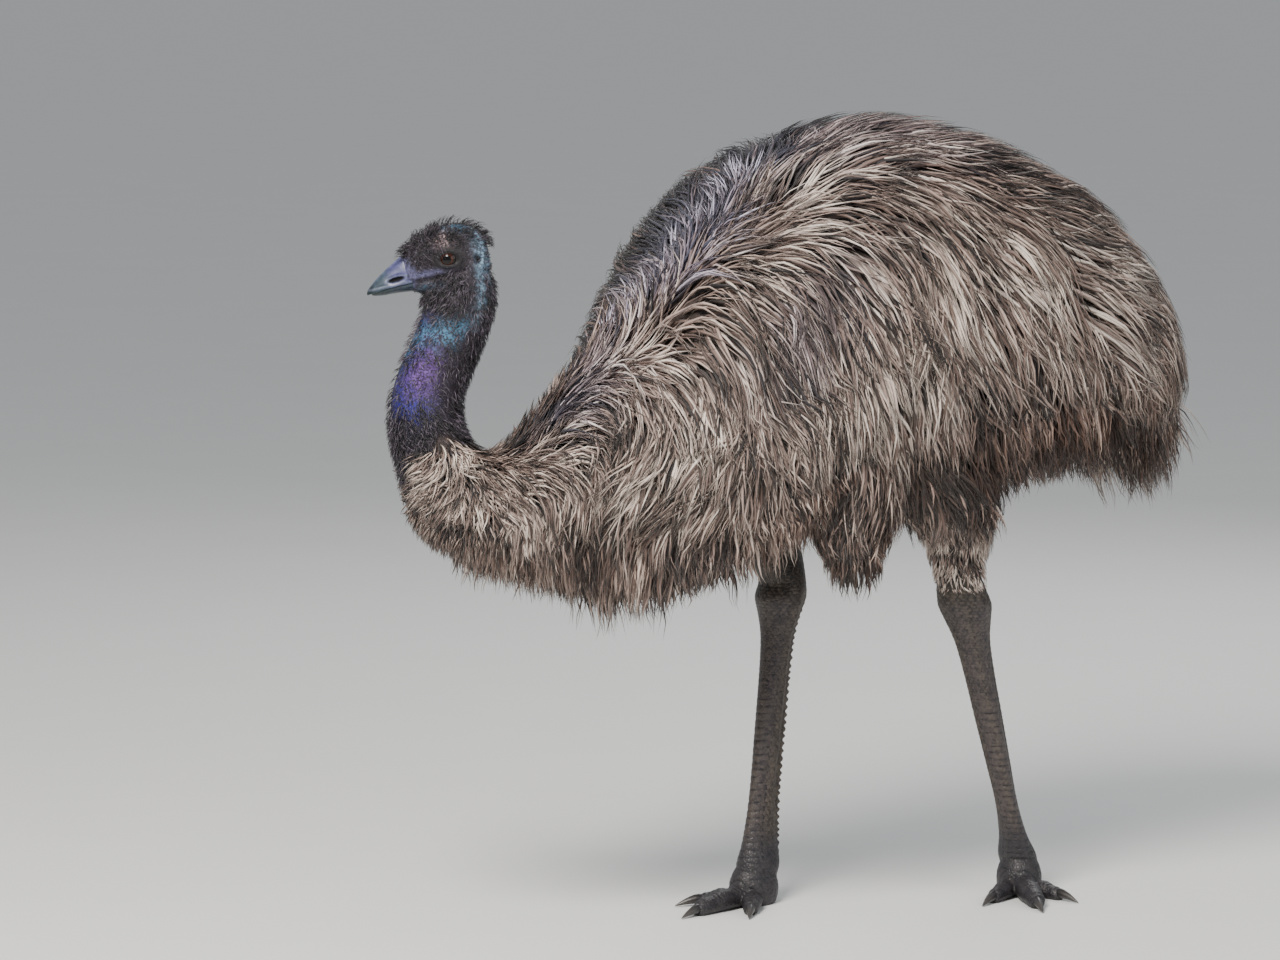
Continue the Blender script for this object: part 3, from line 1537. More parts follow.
@dataclass(frozen=True)
class Hide:
    """The one skin of head, neck, trunk, tail and thighs, which lies inside them by the coat's depth.

    Spots of the head are in millimetres ahead of the eyes and above them. Spots of the neck are in t and in
    degrees from its back.
    """

    voxel: float = 2.6
    depths: tuple[tuple[float, float], ...] = (
        (0, 13), (9, 15), (10.6, 12), (12.4, 7), (13.6, 1.5), (17, 1.5),
    )
    opening: tuple[float, float] = (13.0, 8.6)
    ear: tuple[float, float] = (-36.0, -9.0)
    ear_size: tuple[float, float] = (5.0, 6.5)
    nape_blue: Spot = Spot((-42, 8), (8, 16))
    cheek_blue: Spot = Spot((-45, -26), (9, 24))
    cap: Spot = Spot((-16, 38), (20, 9))
    jaw: Spot = Spot((36, -31), (22, 6), 0.4)
    throat_violet: Spot = Spot((14.4, 112), (0.36, 30))
    bend_blue: Spot = Spot((13.9, 118), (0.3, 34))
    throat_blue: Spot = Spot((14.6, 150), (0.7, 36), 0.8)
    brow: Spot = Spot((1, 27), (15, 10))
    marks: Markings = Markings()

    def depth(self, t: Array) -> Array:
        """How far outside the core the skin lies along the trunk, which is less than nothing."""
        return -np.interp(t, *zip(*self.depths))

    def build(self) -> Object:
        """Makes the skin.

        Returns:
            The skin, without its finish.
        """
        bm = bmesh.new()
        BODY.skin(bm, 0.0, BODY.last, self.depth, (150, 72))
        SKULL.skin(bm, 0.0, SKULL.last, level(0.0), (48, 48))
        for thigh in (LEFT_THIGH, RIGHT_THIGH):
            thigh.skin(bm, 0.0, thigh.last, level(-7.0), (32, 32))
        for side in Side:
            self.add_face_forms(bm, side.value)
        made = finish_mesh(bm, "skin")
        melt(made, self.voxel, 5)
        self.carve(made.data)
        self.thin(made)
        self.mark(made.data)
        return made

    @staticmethod
    def add_face_forms(bm: BMesh, side: int) -> None:
        """Adds the mound round an eye, the brow, the cheek and the jaw on one side.

        Args:
            bm: The mesh that they are added to.
            side: 1 for the left side and -1 for the right.
        """
        forms = (
            ((0, EYE_OUT, 0), (EYE_RADIUS + 2.2, EYE_RADIUS + 2.0, EYE_RADIUS + 1.6)),
            ((3, 20, 15.5), (21, 11, 7)),
            ((-26, 21, -16), (16, 9, 16)),
            ((22, 15, -26), (26, 8, 10)),
            ((30, 14, 8), (18, 8, 14)),
        )
        for (ahead, out, up), size in forms:
            ball(bm, HEAD.out((ahead, side * out, up)), size, HEAD.basis)

    def eye_ring(self, ahead: Array, up: Array) -> Array:
        """How far a place lies from the middle of the eye, where 1 is the edge of the lids."""
        long, high = self.opening
        return np.hypot(ahead / long, (up - 0.10 * ahead) / high)

    def ear_ring(self, ahead: Array, up: Array) -> Array:
        """How far a place lies from the middle of the ear, where 1 is its edge."""
        (at, height), (long, high) = self.ear, self.ear_size
        return np.hypot((ahead - at) / long, (up - height) / high)

    def carve(self, mesh: Mesh) -> None:
        """Opens the eyes between their lids, sinks the ears and draws the line of the mouth.

        Args:
            mesh: The skin's mesh.
        """
        places, normals = read_places(mesh)
        near = np.linalg.norm(places - np.array(HEAD.origin), axis=1) < 110
        local = HEAD.into(places[near])
        turned_normals = normals[near] @ HEAD.basis.T
        ahead, out, up = local.T
        side = np.sign(out)
        oval, ear = self.eye_ring(ahead, up), self.ear_ring(ahead, up)
        facing = (np.abs(out) > 14) & (turned_normals[:, 1] * side > 0.1)
        centre = np.column_stack([np.zeros_like(ahead), side * EYE_OUT, np.zeros_like(ahead)])
        ray = unit(local - centre)
        open_ = smooth(1.04, 0.94, oval) * facing
        local += (centre + ray * (EYE_RADIUS - 2.2) - local) * open_[:, None]
        rim = bell(oval, 1.22, 0.14) * facing
        folds = bell(oval, 1.75, 0.5) * np.sin(oval * 16.0) * facing
        local += turned_normals * (1.1 * rim + 0.35 * folds)[:, None]
        sunk = 5.5 * smooth(1.1, 0.5, ear) - 0.9 * bell(ear, 1.35, 0.25)
        local[:, 1] -= side * sunk * (np.abs(out) > 12)
        lip = self.lip_line(ahead)
        mouth = bell(up, lip, 1.7) * smooth(-24, -14, ahead) * (np.abs(out) > 6)
        local -= turned_normals * (2.6 * mouth)[:, None]
        lips = bell(np.abs(up - lip), 4.5, 2.0) * smooth(-24, -10, ahead) * (np.abs(out) > 6)
        local += turned_normals * (0.7 * lips)[:, None]
        places[near] = HEAD.out(local)
        write_places(mesh, places)

    def thin(self, made: Object) -> None:
        """Leaves larger faces where the coat covers the skin.

        Args:
            made: The skin.
        """
        places, _ = read_places(made.data)
        hidden = smooth(690, 650, places[:, 2]) + (places[:, 1] > -560)
        group = made.vertex_groups.new(name="covered")
        group.add(np.flatnonzero(hidden > 0.5).tolist(), 1.0, "REPLACE")
        fewer = made.modifiers.new("thin", "DECIMATE")
        fewer.ratio = 0.16
        fewer.vertex_group = "covered"
        bake(made)
        made.vertex_groups.clear()

    def mark(self, mesh: Mesh) -> None:
        """Writes the plumage's markings and the bare skin's colours on the skin.

        Args:
            mesh: The skin's mesh.
        """
        places, _ = read_places(mesh)
        _, t, phi = Locator([BODY], (340, 96)).find(places)
        write_colours(mesh, "marks", self.marks.read(t, phi))
        local = HEAD.into(places)
        ahead, out, up = local.T
        head = smooth(80, 60, np.linalg.norm(local * (0.8, 1, 1), axis=1))
        bare = np.maximum(past_bend(t, phi), head)
        off = np.abs(np.degrees(phi))
        wobble = 0.5 * ripple(places, 22.0, 12) + 0.5 * ripple(places, 8.0, 13)
        t = t + 0.12 * wobble
        neck = 1 - head
        stripe = bell(off - 43, 5 * wobble, 12) * smooth(15.25, 15.7, t)
        sky = np.maximum(stripe, self.nape_blue.share(ahead, up) + self.cheek_blue.share(ahead, up))
        band = bell(t - 15.1, (100 - off) * 0.006, 0.26) * smooth(52, 74, off)
        violet = self.throat_violet.share(t, off) * neck
        deep = (self.bend_blue.share(t, off) + self.throat_blue.share(t, off)) * neck
        turquoise = np.maximum(band * neck, (self.cap.share(ahead, up) + self.jaw.share(ahead, up)) * head)
        write_colours(mesh, "bare", np.stack([sky, violet, turquoise, bare], -1))
        outer = smooth(8, 12, np.abs(out)) * head
        brow = self.brow.share(ahead, up) * outer
        lip = self.lip_line(ahead)
        lore = bell(up - lip - 7, 0.03 * ahead, 4.6) * smooth(-16, 34, ahead)
        lore = np.maximum(lore, smooth(44 + 5 * wobble, 53 + 5 * wobble, ahead) * smooth(16, 8, up)) * outer
        oval = self.eye_ring(ahead, up)
        hollow = np.maximum(smooth(1.12, 1.0, oval), 0.85 * smooth(2.3, 1.2, oval)) * (np.abs(out) > 12)
        ear = smooth(1.0, 0.4, self.ear_ring(ahead, up)) * (np.abs(out) > 10)
        write_colours(mesh, "face", np.stack([brow, deep, np.maximum(hollow, ear) * head, lore], -1))

    @staticmethod
    def lip_line(ahead: Array) -> Array:
        """How high the line of the mouth runs on the head."""
        return -20 + 0.006 * np.maximum(10 - ahead, 0) ** 1.6


@dataclass(frozen=True)
class Bill:
    """The two horny halves of the bill, with the nostrils and a line along the ridge.

    A row is how far ahead of the eyes it lies, its half width and its height from the line of the mouth.
    """

    upper: tuple[tuple[float, float, float], ...] = (
        (50, 14, 35.5), (57, 15.8, 36), (70, 14.5, 29), (84, 12.5, 22),
        (97, 10, 14.5), (106, 7.5, 9), (110, 4.6, 5.4), (112, 1.6, 2),
    )
    lower: tuple[tuple[float, float, float], ...] = (
        (52, 14.5, 12), (57, 14.5, 11), (75, 12.5, 8.5), (92, 9, 6.5), (102, 5, 4), (106, 2, 2),
    )
    mouth: float = -20.0
    lip: float = 0.3
    base: float = 57.0
    droop: float = 0.0011
    nostril: tuple[float, float] = (71.0, -11.5)
    nostril_size: tuple[float, float] = (10.5, 3.1)
    fossa_size: tuple[float, float] = (15.0, 6.2)

    def half(self, rows: Sequence[tuple[float, float, float]], way: int) -> Tube:
        """One half of the bill, flat on the line of the mouth.

        Args:
            rows: The half's rows.
            way: 1 for the upper half and -1 for the lower.

        Returns:
            The tube.
        """
        sections = []
        for ahead, half, high in rows:
            middle = self.mouth + self.lip * way - self.droop * max(ahead - self.base, 0) ** 2
            x, y, z = HEAD.out((ahead, 0.0, middle))
            up, down = (high, 0.6) if way > 0 else (0.6, high)
            sections.append(Section(y, z, up, down, half, x=x, full=1.85, pitch=HEAD.pitch, yaw=HEAD.yaw))
        return Tube(sections)

    def build(self) -> None:
        """Makes both halves."""
        for name, rows, way in (("bill_upper", self.upper, 1), ("bill_lower", self.lower, -1)):
            bm = bmesh.new()
            tube = self.half(rows, way)
            tube.skin(bm, 0.0, tube.last, level(0.0), (140, 130))
            bmesh.ops.smooth_vert(bm, verts=bm.verts, factor=0.3, use_axis_x=True, use_axis_y=True,
                                  use_axis_z=True)
            made = finish_mesh(bm, f"{name}_horn")
            self.shape(made.data, way)
            place_piece(made, Finish.HORN, (name,))

    def shape(self, mesh: Mesh, way: int) -> None:
        """Sinks the nostrils, raises the ridge and writes where the colours change.

        Args:
            mesh: The half's mesh.
            way: 1 for the upper half and -1 for the lower.
        """
        places, _ = read_places(mesh)
        local = HEAD.into(places)
        ahead, out, up = local.T
        side = np.sign(out)
        hollow = ridge = np.zeros_like(ahead)
        if way > 0:
            at, high = self.nostril
            rise = up - high + 0.06 * (ahead - at)
            fossa, hole = (np.hypot((ahead - at) / long, rise / tall)
                           for long, tall in (self.fossa_size, self.nostril_size))
            facing = np.abs(out) > 3
            sunk = (1.3 * smooth(1.15, 0.6, fossa) + 3.6 * smooth(1.1, 0.6, hole)) * facing
            local[:, 1] -= side * sunk
            rim = bell(hole, 1.35, 0.22) * facing
            local[:, 1] += side * 0.6 * rim
            hollow = smooth(1.12, 0.85, hole) * facing
            top = smooth(5.0, 1.5, np.abs(out)) * (up > self.mouth + 3)
            local[:, 2] += 0.8 * top * smooth(108, 95, ahead)
            ridge = 0.35 * top + 0.5 * rim + 0.3 * bell(up - self.mouth, 2.2, 1.4) * facing
        edge = up - self.mouth + 0.05 * (ahead - self.base)
        groove = bell(edge, 6.0 * way, 0.9) * smooth(104, 96, ahead)
        local[:, 1] -= side * 0.45 * groove * (np.abs(out) > 4)
        write_places(mesh, HEAD.out(local))
        along = np.clip((ahead - 50) / 60.0, 0, 1)
        under = np.ones_like(along) if way < 0 else smooth(5.0, -1.0, edge)
        write_colours(mesh, "horn", np.stack([along, ridge, hollow, 0.85 * under], -1))


@dataclass(frozen=True)
class Eye:
    """An eyeball with a bulging cornea, looking out and a little ahead.

    Spokes is how many streaks its iris has, and span how many degrees from the gaze its colours reach.
    """

    side: Side
    gaze: tuple[float, float, float] = (0.20, 1.0, 0.02)
    bulge: float = 0.9
    spokes: int = 34
    span: float = 75.0

    def build(self) -> None:
        """Makes the eyeball."""
        bm = bmesh.new()
        sign = self.side.value
        gaze = unit(np.array([self.gaze[0], self.gaze[1] * sign, self.gaze[2]]))
        centre = np.array([0.0, sign * EYE_OUT, 0.0])
        basis = np.roll(HEAD.basis, -1, axis=0)
        ball(bm, HEAD.out(centre), (EYE_RADIUS - 0.6,) * 3, basis, (64, 40))
        made = finish_mesh(bm, f"eyeball_{self.side.label}")
        places, _ = read_places(made.data)
        ray = HEAD.into(places) - centre
        off = np.degrees(np.arccos(np.clip(unit(ray) @ gaze, -1, 1)))
        ray += unit(ray) * (self.bulge * smooth(44, 12, off))[:, None]
        write_places(made.data, HEAD.out(centre + ray))
        flat = unit(ray) - gaze * (unit(ray) @ gaze)[:, None]
        spoke = 0.5 + 0.5 * np.sin(np.arctan2(flat[:, 2], flat[:, 0]) * self.spokes)
        looks = np.stack([off / self.span, spoke, np.zeros_like(off), np.ones_like(off)], -1)
        write_colours(made.data, "iris", looks)
        place_piece(made, Finish.EYE, (f"eye_{self.side.label}",))


@dataclass(frozen=True)
class Toe:
    """A toe's spread from the foot in degrees, its length, half width and height."""

    name: str
    spread: float
    length: float
    half: float
    high: float


@dataclass(frozen=True)
class Leg:
    """A bare leg and foot with its scales, in one mesh, and its claws.

    The pad is its half axes, how far ahead of the foot it lies and how high. A row of the shank is the
    share of the way down from the hock, the half depth and the half width. A row of a toe is the share of
    its length and of its size, and a row of a claw its share of the length, of its size and of its height.
    The claw is its length, half width and height, and how far back in the toe it starts. Scutes, small
    scales and the teeth of the heel are that many millimetres apart.
    """

    pose: LegPose
    ankle: float = 46.0
    pad: tuple[float, float, float] = (37.0, 30.0, 40.0)
    pad_ahead: float = 8.0
    pad_rise: float = 20.0
    voxel: float = 1.7
    shank: tuple[tuple[float, float, float], ...] = (
        (0, 31, 32), (0.06, 34, 34.5), (0.12, 27, 29), (0.19, 22.5, 22.5), (0.3, 21.5, 19),
        (0.5, 23, 16.5), (0.75, 25.5, 13.5), (0.9, 30, 17), (0.99, 33, 25), (1.06, 22, 20),
    )
    toes: tuple[Toe, ...] = (
        Toe("inner", 34, 78, 13.5, 25), Toe("middle", 0, 120, 16.5, 31), Toe("outer", -36, 88, 14, 26),
    )
    toe_shape: tuple[tuple[float, float], ...] = (
        (0, 1), (0.25, 1.03), (0.42, 0.88), (0.6, 0.93), (0.78, 0.76), (0.9, 0.72), (1, 0.5),
    )
    claw_shape: tuple[tuple[float, float, float], ...] = (
        (0, 1, 0.62), (0.3, 0.95, 0.66), (0.6, 0.66, 0.5), (0.85, 0.34, 0.28), (1, 0.1, 0.12),
    )
    claw: tuple[float, float, float, float] = (42.0, 6.5, 13.0, 10.0)
    scute: float = 9.0
    toe_scute: float = 6.5
    scute_bow: float = 0.004
    small_scale: float = 5.4
    tooth: float = 9.5

    def shank_tube(self) -> Tube:
        """The scaly shank from above the hock down to the ankle.

        Returns:
            The tube.
        """
        pose, (ahead, _) = self.pose, self.pose.ways()
        calf, hock, ankle = np.array(pose.calf), np.array(pose.hock), np.array([*pose.foot, self.ankle])
        rings = [(hock + (calf - hock) * rise - ahead * back, *size) for rise, *size, back in pose.knuckle]
        rings += [(hock + (ankle - hock) * at, *size) for at, *size in self.shank]
        return Tube([Section(y, z, deep, deep, wide, x=x, pitch=-90, yaw=-pose.turn)
                     for (x, y, z), deep, wide in rings])

    def pad_middle(self) -> Array:
        """The middle of the pad, on the floor."""
        return np.array([*self.pose.foot, 0.0]) + self.pose.ways()[0] * self.pad_ahead

    def toe_places(self, toe: Toe, lengths: Sequence[float]) -> list[tuple[float, float, float]]:
        """Where a toe runs at some lengths from the middle of the pad, each as x, y and its yaw.

        Args:
            toe: The toe.
            lengths: The lengths, in millimetres.

        Returns:
            One row for each length.
        """
        ahead, _ = self.pose.ways(toe.spread)
        yaw = -(self.pose.turn + toe.spread * self.pose.side.value)
        return [(*(self.pad_middle() + ahead * length)[:2], yaw) for length in lengths]

    def toe_tube(self, toe: Toe) -> Tube:
        """One toe, from the middle of the pad out.

        Args:
            toe: The toe.

        Returns:
            The tube.
        """
        rows = []
        places = self.toe_places(toe, [toe.length * at for at, _ in self.toe_shape])
        for (x, y, yaw), (_, size) in zip(places, self.toe_shape):
            rise = toe.high * size * 0.5
            rows.append(Section(y, rise - 1.5, rise, rise, toe.half * size, x=x, yaw=yaw))
        return Tube(rows)

    def claw_tube(self, toe: Toe) -> Tube:
        """One claw, from inside the toe out to its tip near the floor.

        Args:
            toe: The toe that it is on.

        Returns:
            The tube.
        """
        length, half, high, back = self.claw
        rows = []
        places = self.toe_places(toe, [toe.length - back + length * at for at, _, _ in self.claw_shape])
        for (x, y, yaw), (_, size, height) in zip(places, self.claw_shape):
            up, down = high * size * 0.55, high * size * 0.45
            rows.append(Section(y, high * height, up, down, half * size, x=x, yaw=yaw))
        return Tube(rows)

    def build(self) -> None:
        """Makes the leg, the foot and the claws."""
        label = self.pose.side.label
        tubes = [self.shank_tube(), *(self.toe_tube(toe) for toe in self.toes)]
        bm = bmesh.new()
        tubes[0].skin(bm, 0.0, tubes[0].last, level(0.0), (80, 36))
        for tube in tubes[1:]:
            tube.skin(bm, 0.0, tube.last, level(0.0), (40, 30))
        ball(bm, self.pad_middle() + UP * self.pad_rise, self.pad, np.stack([*self.pose.ways(), UP]))
        made = finish_mesh(bm, f"leg_{label}")
        melt(made, self.voxel, 4)
        self.scale(made.data, tubes)
        nodes = [f"shank_{label}", f"foot_{label}", *(f"toe_{toe.name}_{label}" for toe in self.toes)]
        place_piece(made, Finish.SCALES, nodes)
        for toe in self.toes:
            self.build_claw(toe, label)

    def build_claw(self, toe: Toe, label: str) -> None:
        """Makes one claw with a ridge along its top.

        Args:
            toe: The toe that it is on.
            label: The side's word in names.
        """
        bm = bmesh.new()
        tube = self.claw_tube(toe)
        tube.skin(bm, 0.0, tube.last, level(0.0), (40, 28))
        made = finish_mesh(bm, f"nail_{toe.name}_{label}")
        places, _ = read_places(made.data)
        _, t, phi = Locator([tube], (80, 40)).find(places)
        places[:, 2] = np.maximum(places[:, 2] + 0.7 * bell(phi, 0.0, 0.35) * smooth(4, 2, t), 0.05)
        write_places(made.data, places)
        along = t / tube.last
        none = np.zeros_like(along)
        write_colours(made.data, "horn", np.stack([along, none, none, np.ones_like(along)], -1))
        place_piece(made, Finish.CLAWS, (f"claw_{toe.name}_{label}",))

    def scale(self, mesh: Mesh, tubes: Sequence[Tube]) -> None:
        """Raises the scutes, the small scales between them and the toothed ones down the heel.

        Args:
            mesh: The melted leg.
            tubes: The shank and then the toes.
        """
        places, normals = read_places(mesh)
        part, t, phi = Locator(tubes, (640, 64)).find(places)
        on_toe = part > 0
        along = np.zeros_like(t)
        for index, tube in enumerate(tubes):
            knots = tube.centres(np.arange(tube.last + 1.0))
            lengths = np.concatenate([[0.0], np.cumsum(np.linalg.norm(np.diff(knots, axis=0), axis=1))])
            start = 0.0 if index else lengths[len(self.pose.knuckle)]
            along = np.where(part == index, np.interp(t, np.arange(len(lengths)), lengths) - start, along)
        round_ = phi * np.where(on_toe, 14.0, 20.0)
        off = np.abs(np.degrees(phi))
        scute = smooth(58, 44, off) * np.where(on_toe, 1.0, smooth(60, 250, along))
        step = (along + self.scute_bow * round_ ** 2) / np.where(on_toe, self.toe_scute, self.scute)
        share = step - np.floor(step)
        plate = 1 - np.abs(2 * share - 1) ** 4
        cell = hexagons(round_, along, self.small_scale)
        heel = smooth(122, 136, off) * ~on_toe * smooth(15, 45, along) * smooth(375, 350, along)
        saw = np.sin(math.pi * ((along / self.tooth) % 1.0)) ** 2
        under = smooth(120, 140, off) * on_toe
        height = np.where(scute > 0.5, plate, cell)
        rise = scute * plate + (1 - scute) * (0.8 - 0.3 * under) * cell
        rise = rise * (1 - heel) + heel * (3.4 * saw * bell(off, 146, 9) + 0.6 * cell)
        tendon = 1.8 * bell(off, 84, 11) - 2.0 * bell(off, 112, 10)
        rise = rise + tendon * ~on_toe * smooth(0, 30, along) * smooth(346, 250, along)
        free = smooth(0.3, 3.0, places[:, 2])
        places += normals * (rise * free)[:, None]
        places[:, 2] = np.maximum(places[:, 2], 0.0)
        write_places(mesh, places)
        front = bell(off, 35, 40) * ~on_toe * smooth(5, 35, along) * smooth(376, 323, along)
        deep = np.where(heel > 0.5, 0.35 + 0.65 * saw, height)
        deep *= np.where(on_toe, 1, 0.25 + 0.75 * smooth(-40, 60, along))
        toe = np.where(on_toe, 1.0, smooth(311, 369, along))
        write_colours(mesh, "scale", np.stack([deep, front, toe, np.ones_like(toe)], -1))


def hexagons(x: Array, y: Array, size: float) -> Array:
    """Rounded six-sided scales on a plane.

    Args:
        x: One measure of the plane.
        y: The other.
        size: How far apart the scales are.

    Returns:
        Each place's height, from 0 in a groove to 1 on top.
    """
    best = np.full(np.shape(x), 1e9)
    row = size * math.sqrt(3)
    for shift in (0.0, 0.5):
        dx = (x / size + shift) - np.round(x / size + shift)
        dy = (y / row + shift) - np.round(y / row + shift)
        best = np.minimum(best, np.hypot(dx * size, dy * row))
    return 1 - np.clip(best / (0.56 * size), 0, 1) ** 3


BODY_LIE = Lie((
    (0.0, 0, 10, 15, 25, 40, 50, 45, 20),
    (2.5, 0, 2, 2, 16, 42, 50, 42, 20),
    (3.5, 0, 2, 4, 24, 55, 60, 50, 25),
    (4.5, 0, 10, 22, 50, 70, 62, 58, 30),
    (5.5, 0, 10, 28, 60, 66, 82, 72, 40),
    (6.5, 0, 2, 27, 70, 104, 104, 80, 50),
    (7.5, 0, -4, 30, 78, 88, 103, 97, 60),
    (8.5, 0, 30, 68, 90, 113, 125, 114, 70),
    (9.5, 0, 18, 60, 108, 138, 128, 104, 70),
    (10.5, 0, 5, 38, 88, 108, 122, 92, 60),
    (11.5, 0, 40, 52, 48, 50, 70, 82, 60),
    (12.5, 0, 5, 10, 30, 61, 84, 87, 60),
    (13.6, 0, 0, 0, 2, 29, 40, 45, 45),
), spill=75.0)
ALONG, AGAINST = (Lie(tuple((t, *[angle] * len(ROUND)) for t in (0, 20))) for angle in (0.0, 180.0))


@dataclass(frozen=True)
class CoatPiece:
    """One stretch of the coat: the tube that it grows on, from where to where, and its strands."""

    name: str
    tube: Tube
    start: float
    end: float
    count: int
    strand: Strand
    seed: int
    slot: str = "feathers_body"
    lie: Lie = BODY_LIE
    finish: Finish = Finish.PLUMAGE
    keep: Callable[[Array, Array], Array] | None = None
    marks: Markings = Markings()

    def build(self) -> None:
        """Grows the strands and makes the piece."""
        roots = spread_roots(self.tube, self.start, self.end, self.count, self.strand, self.seed, self.keep)
        t, phi, draw = roots.t, roots.phi, roots.draw
        path, normals = trace(self.tube, roots, self.strand, self.lie)
        groups = roots.bunch.max() + 1
        streak = 0.12 * ripple(path[:, 0], 55.0, 8) + 0.08 * ripple(path[:, 0], 160.0, 9)
        tint = np.clip(draw.beta(0.85, 0.9, len(t)) + streak, 0, 1)
        bunch = np.clip(draw.beta(1.0, 1.0, groups)[roots.bunch] + streak, 0, 1)
        look = np.stack([tint, bunch, draw.uniform(0.25, 1.0, len(t))], -1)
        marks = self.marks.read(t, phi)
        fine = draw.uniform(size=len(t)) < self.strand.fine
        wide = np.clip(draw.normal(1.0, 0.25, len(t)), 0.5, 1.8) * np.where(fine, 0.42, 1.0)
        turn = (phi / (2 * math.pi)) % 1.0
        unwrap = np.stack([turn, (t - self.start) / (self.end - self.start)], -1)
        builder = StrandMesh(self.name, self.strand.width, self.strand.thick)
        made = builder.build(path, normals, wide, look, marks, np.clip(unwrap, 0, 1))
        place_piece(made, self.finish)


def past_bend(t: Array, phi: Array) -> Array:
    """How far a place lies past the slanting edge where the neck's plumage ends, from 0 to 1."""
    front = smooth(75, 150, np.abs(np.degrees(phi)))
    return smooth(13.1, 13.5, t + 0.75 * front)


def below_bend(t: Array, phi: Array) -> Array:
    """How thickly plumage grows at the bend of the neck."""
    return 1 - past_bend(t, phi)


def sparse_on_blue(t: Array, phi: Array) -> Array:
    """How thickly the neck's bristles grow: thinly over the blue skin, thickly on nape and bend.

    Args:
        t: Where along the trunk.
        phi: How far round it, in radians.

    Returns:
        Shares from 0 to 1.
    """
    off = np.abs(np.degrees(phi))
    nape = smooth(50, 28, off)
    throat = smooth(15.4, 15.8, t) * smooth(62, 90, off)
    bend = smooth(14.0, 13.5, t)
    thick = np.clip(0.13 + 0.6 * nape + 0.75 * bend + 0.5 * throat, 0, 1)
    return thick * np.maximum(past_bend(t, phi), 0.25 * smooth(12.6, 13.2, t))


def on_crown(t: Array, phi: Array) -> Array:
    """How thickly bristles grow on the crown, thinly over its blue patch."""
    ahead, _, up = HEAD.into(SKULL.points(t, phi)).T
    return smooth(72, 44, np.abs(np.degrees(phi))) * (1 - 0.95 * spot(ahead, up, (-16, 38), (22, 12)))


def on_face(t: Array, phi: Array) -> Array:
    """How thickly fuzz grows on the face: not on the eyes, the brow or the pale band over the mouth.

    Args:
        t: Where along the skull.
        phi: How far round it, in radians.

    Returns:
        Shares from 0 to 1.
    """
    ahead, _, up = HEAD.into(SKULL.points(t, phi)).T
    eye = smooth(1.3, 1.7, np.hypot(ahead / 13.0, up / 9.0))
    return eye * (1 - spot(ahead, up, (1, 27), (14, 8))) * (1 - spot(ahead, up, (20, -12), (40, 6)))


def by_parting(t: Array, phi: Array) -> Array:
    """How thickly pale plumes grow: close to the parting along the back."""
    return bell(from_parting(t, phi), -1, 3.5)


def before_knee(t: Array, phi: Array) -> Array:
    """How thickly the long plumes in front of the right leg grow, on both sides of the belly."""
    degrees = np.degrees(phi)
    return spot(t, degrees, (7.3, 140), (0.4, 15)) + 0.5 * spot(t, degrees, (7.7, -135), (0.4, 18))


BODY_STRAND = Strand(130, 5.2, 1.9, (2, 25), 14, steps=5, bunch=8, pull=0.78, stray=0.19, spread=10,
                     wave=4.0, fine=0.35)
TAIL_STRAND = replace(BODY_STRAND, length=137, stray=0.24, pull=0.95, spread=13, bunch=11)
FLANK_STRAND = replace(BODY_STRAND, length=136, lift=(2, 27), stray=0.17)
SHOULDER_STRAND = replace(BODY_STRAND, length=120, width=4.2, thick=1.6)
BREAST_STRAND = replace(BODY_STRAND, length=114, width=4.6, lift=(2, 25), stray=0.22)
TUFT_STRAND = replace(BODY_STRAND, length=88, keep=0.75, droop=0.5, pull=0.55, stray=0.24, lift=(2, 22),
                      hem=-2)
KNEE_STRAND = replace(BODY_STRAND, length=144, keep=1.0, droop=1.0, pull=0.6, lift=(4, 26))
PLUME_STRAND = replace(BODY_STRAND, length=44, width=1.3, lift=(8, 28), sink=4, spread=4, bunch=3, fine=0)
NECK_STRAND = Strand(76, 3.8, 1.5, (1, 18), 11, steps=5, bunch=8, pull=0.65, stray=0.24, spread=8, wave=3.0,
                     fine=0.35)
BEND_STRAND = Strand(40, 2.3, 1.0, (1, 14), 7, steps=4, bunch=7, pull=0.5, stray=0.3, spread=5, wave=1.5)
NECK_BRISTLE = Strand(11.5, 0.9, 0.6, (1.5, 8.5), 1.2, steps=3, bunch=4, pull=0.3, stray=0.4, spread=4,
                      hem=-2)
CROWN_BRISTLE = Strand(17, 0.8, 0.5, (4, 16), 1.5, steps=4, bunch=6, pull=0.85, stray=0.8, spread=4, hem=-2)
BROW_BRISTLE = replace(CROWN_BRISTLE, length=19, lift=(5, 13))
FACE_FUZZ = Strand(5.5, 0.55, 0.45, (1.0, 3.6), 0.8, steps=3, bunch=3, pull=0.2, stray=0.5, spread=2.5,
                   hem=-2)
THIGH_STRAND = Strand(60, 2.7, 1.1, (1, 12), 8, steps=4, pull=0.5, stray=0.25, spread=6, hem=-2, keep=0.5,
                      fade=(1.1, 2.6), least=0.42, wave=2.5, fine=0.3)
FRINGE_STRAND = replace(BODY_STRAND, length=72, keep=0.7, droop=1.0, lift=(4, 34), hem=-2)
NO_MARKS = Markings((), (), (), ())
PLUME_MARKS = replace(NO_MARKS, pale=(Patch(8, 0, 9, 900, 0.9),), blue=(Patch(8, 0, 9, 900, 0.8),))
TUFT_MARKS = replace(NO_MARKS, rust=(Patch(4, 0, 2, 900, 0.5),), dark=(Patch(4.2, 0, 2.2, 900, 0.65),))
THIGH_MARKS = replace(NO_MARKS, pale=(Patch(3.1, 0, 1.5, 900, 1.0),), rust=(Patch(0, 0, 1.6, 900, 0.5),),
                      dark=(Patch(0.4, 0, 0.9, 900, 0.95),))
ON_THIGH = {"lie": AGAINST, "marks": THIGH_MARKS, "slot": "feathers_thigh"}
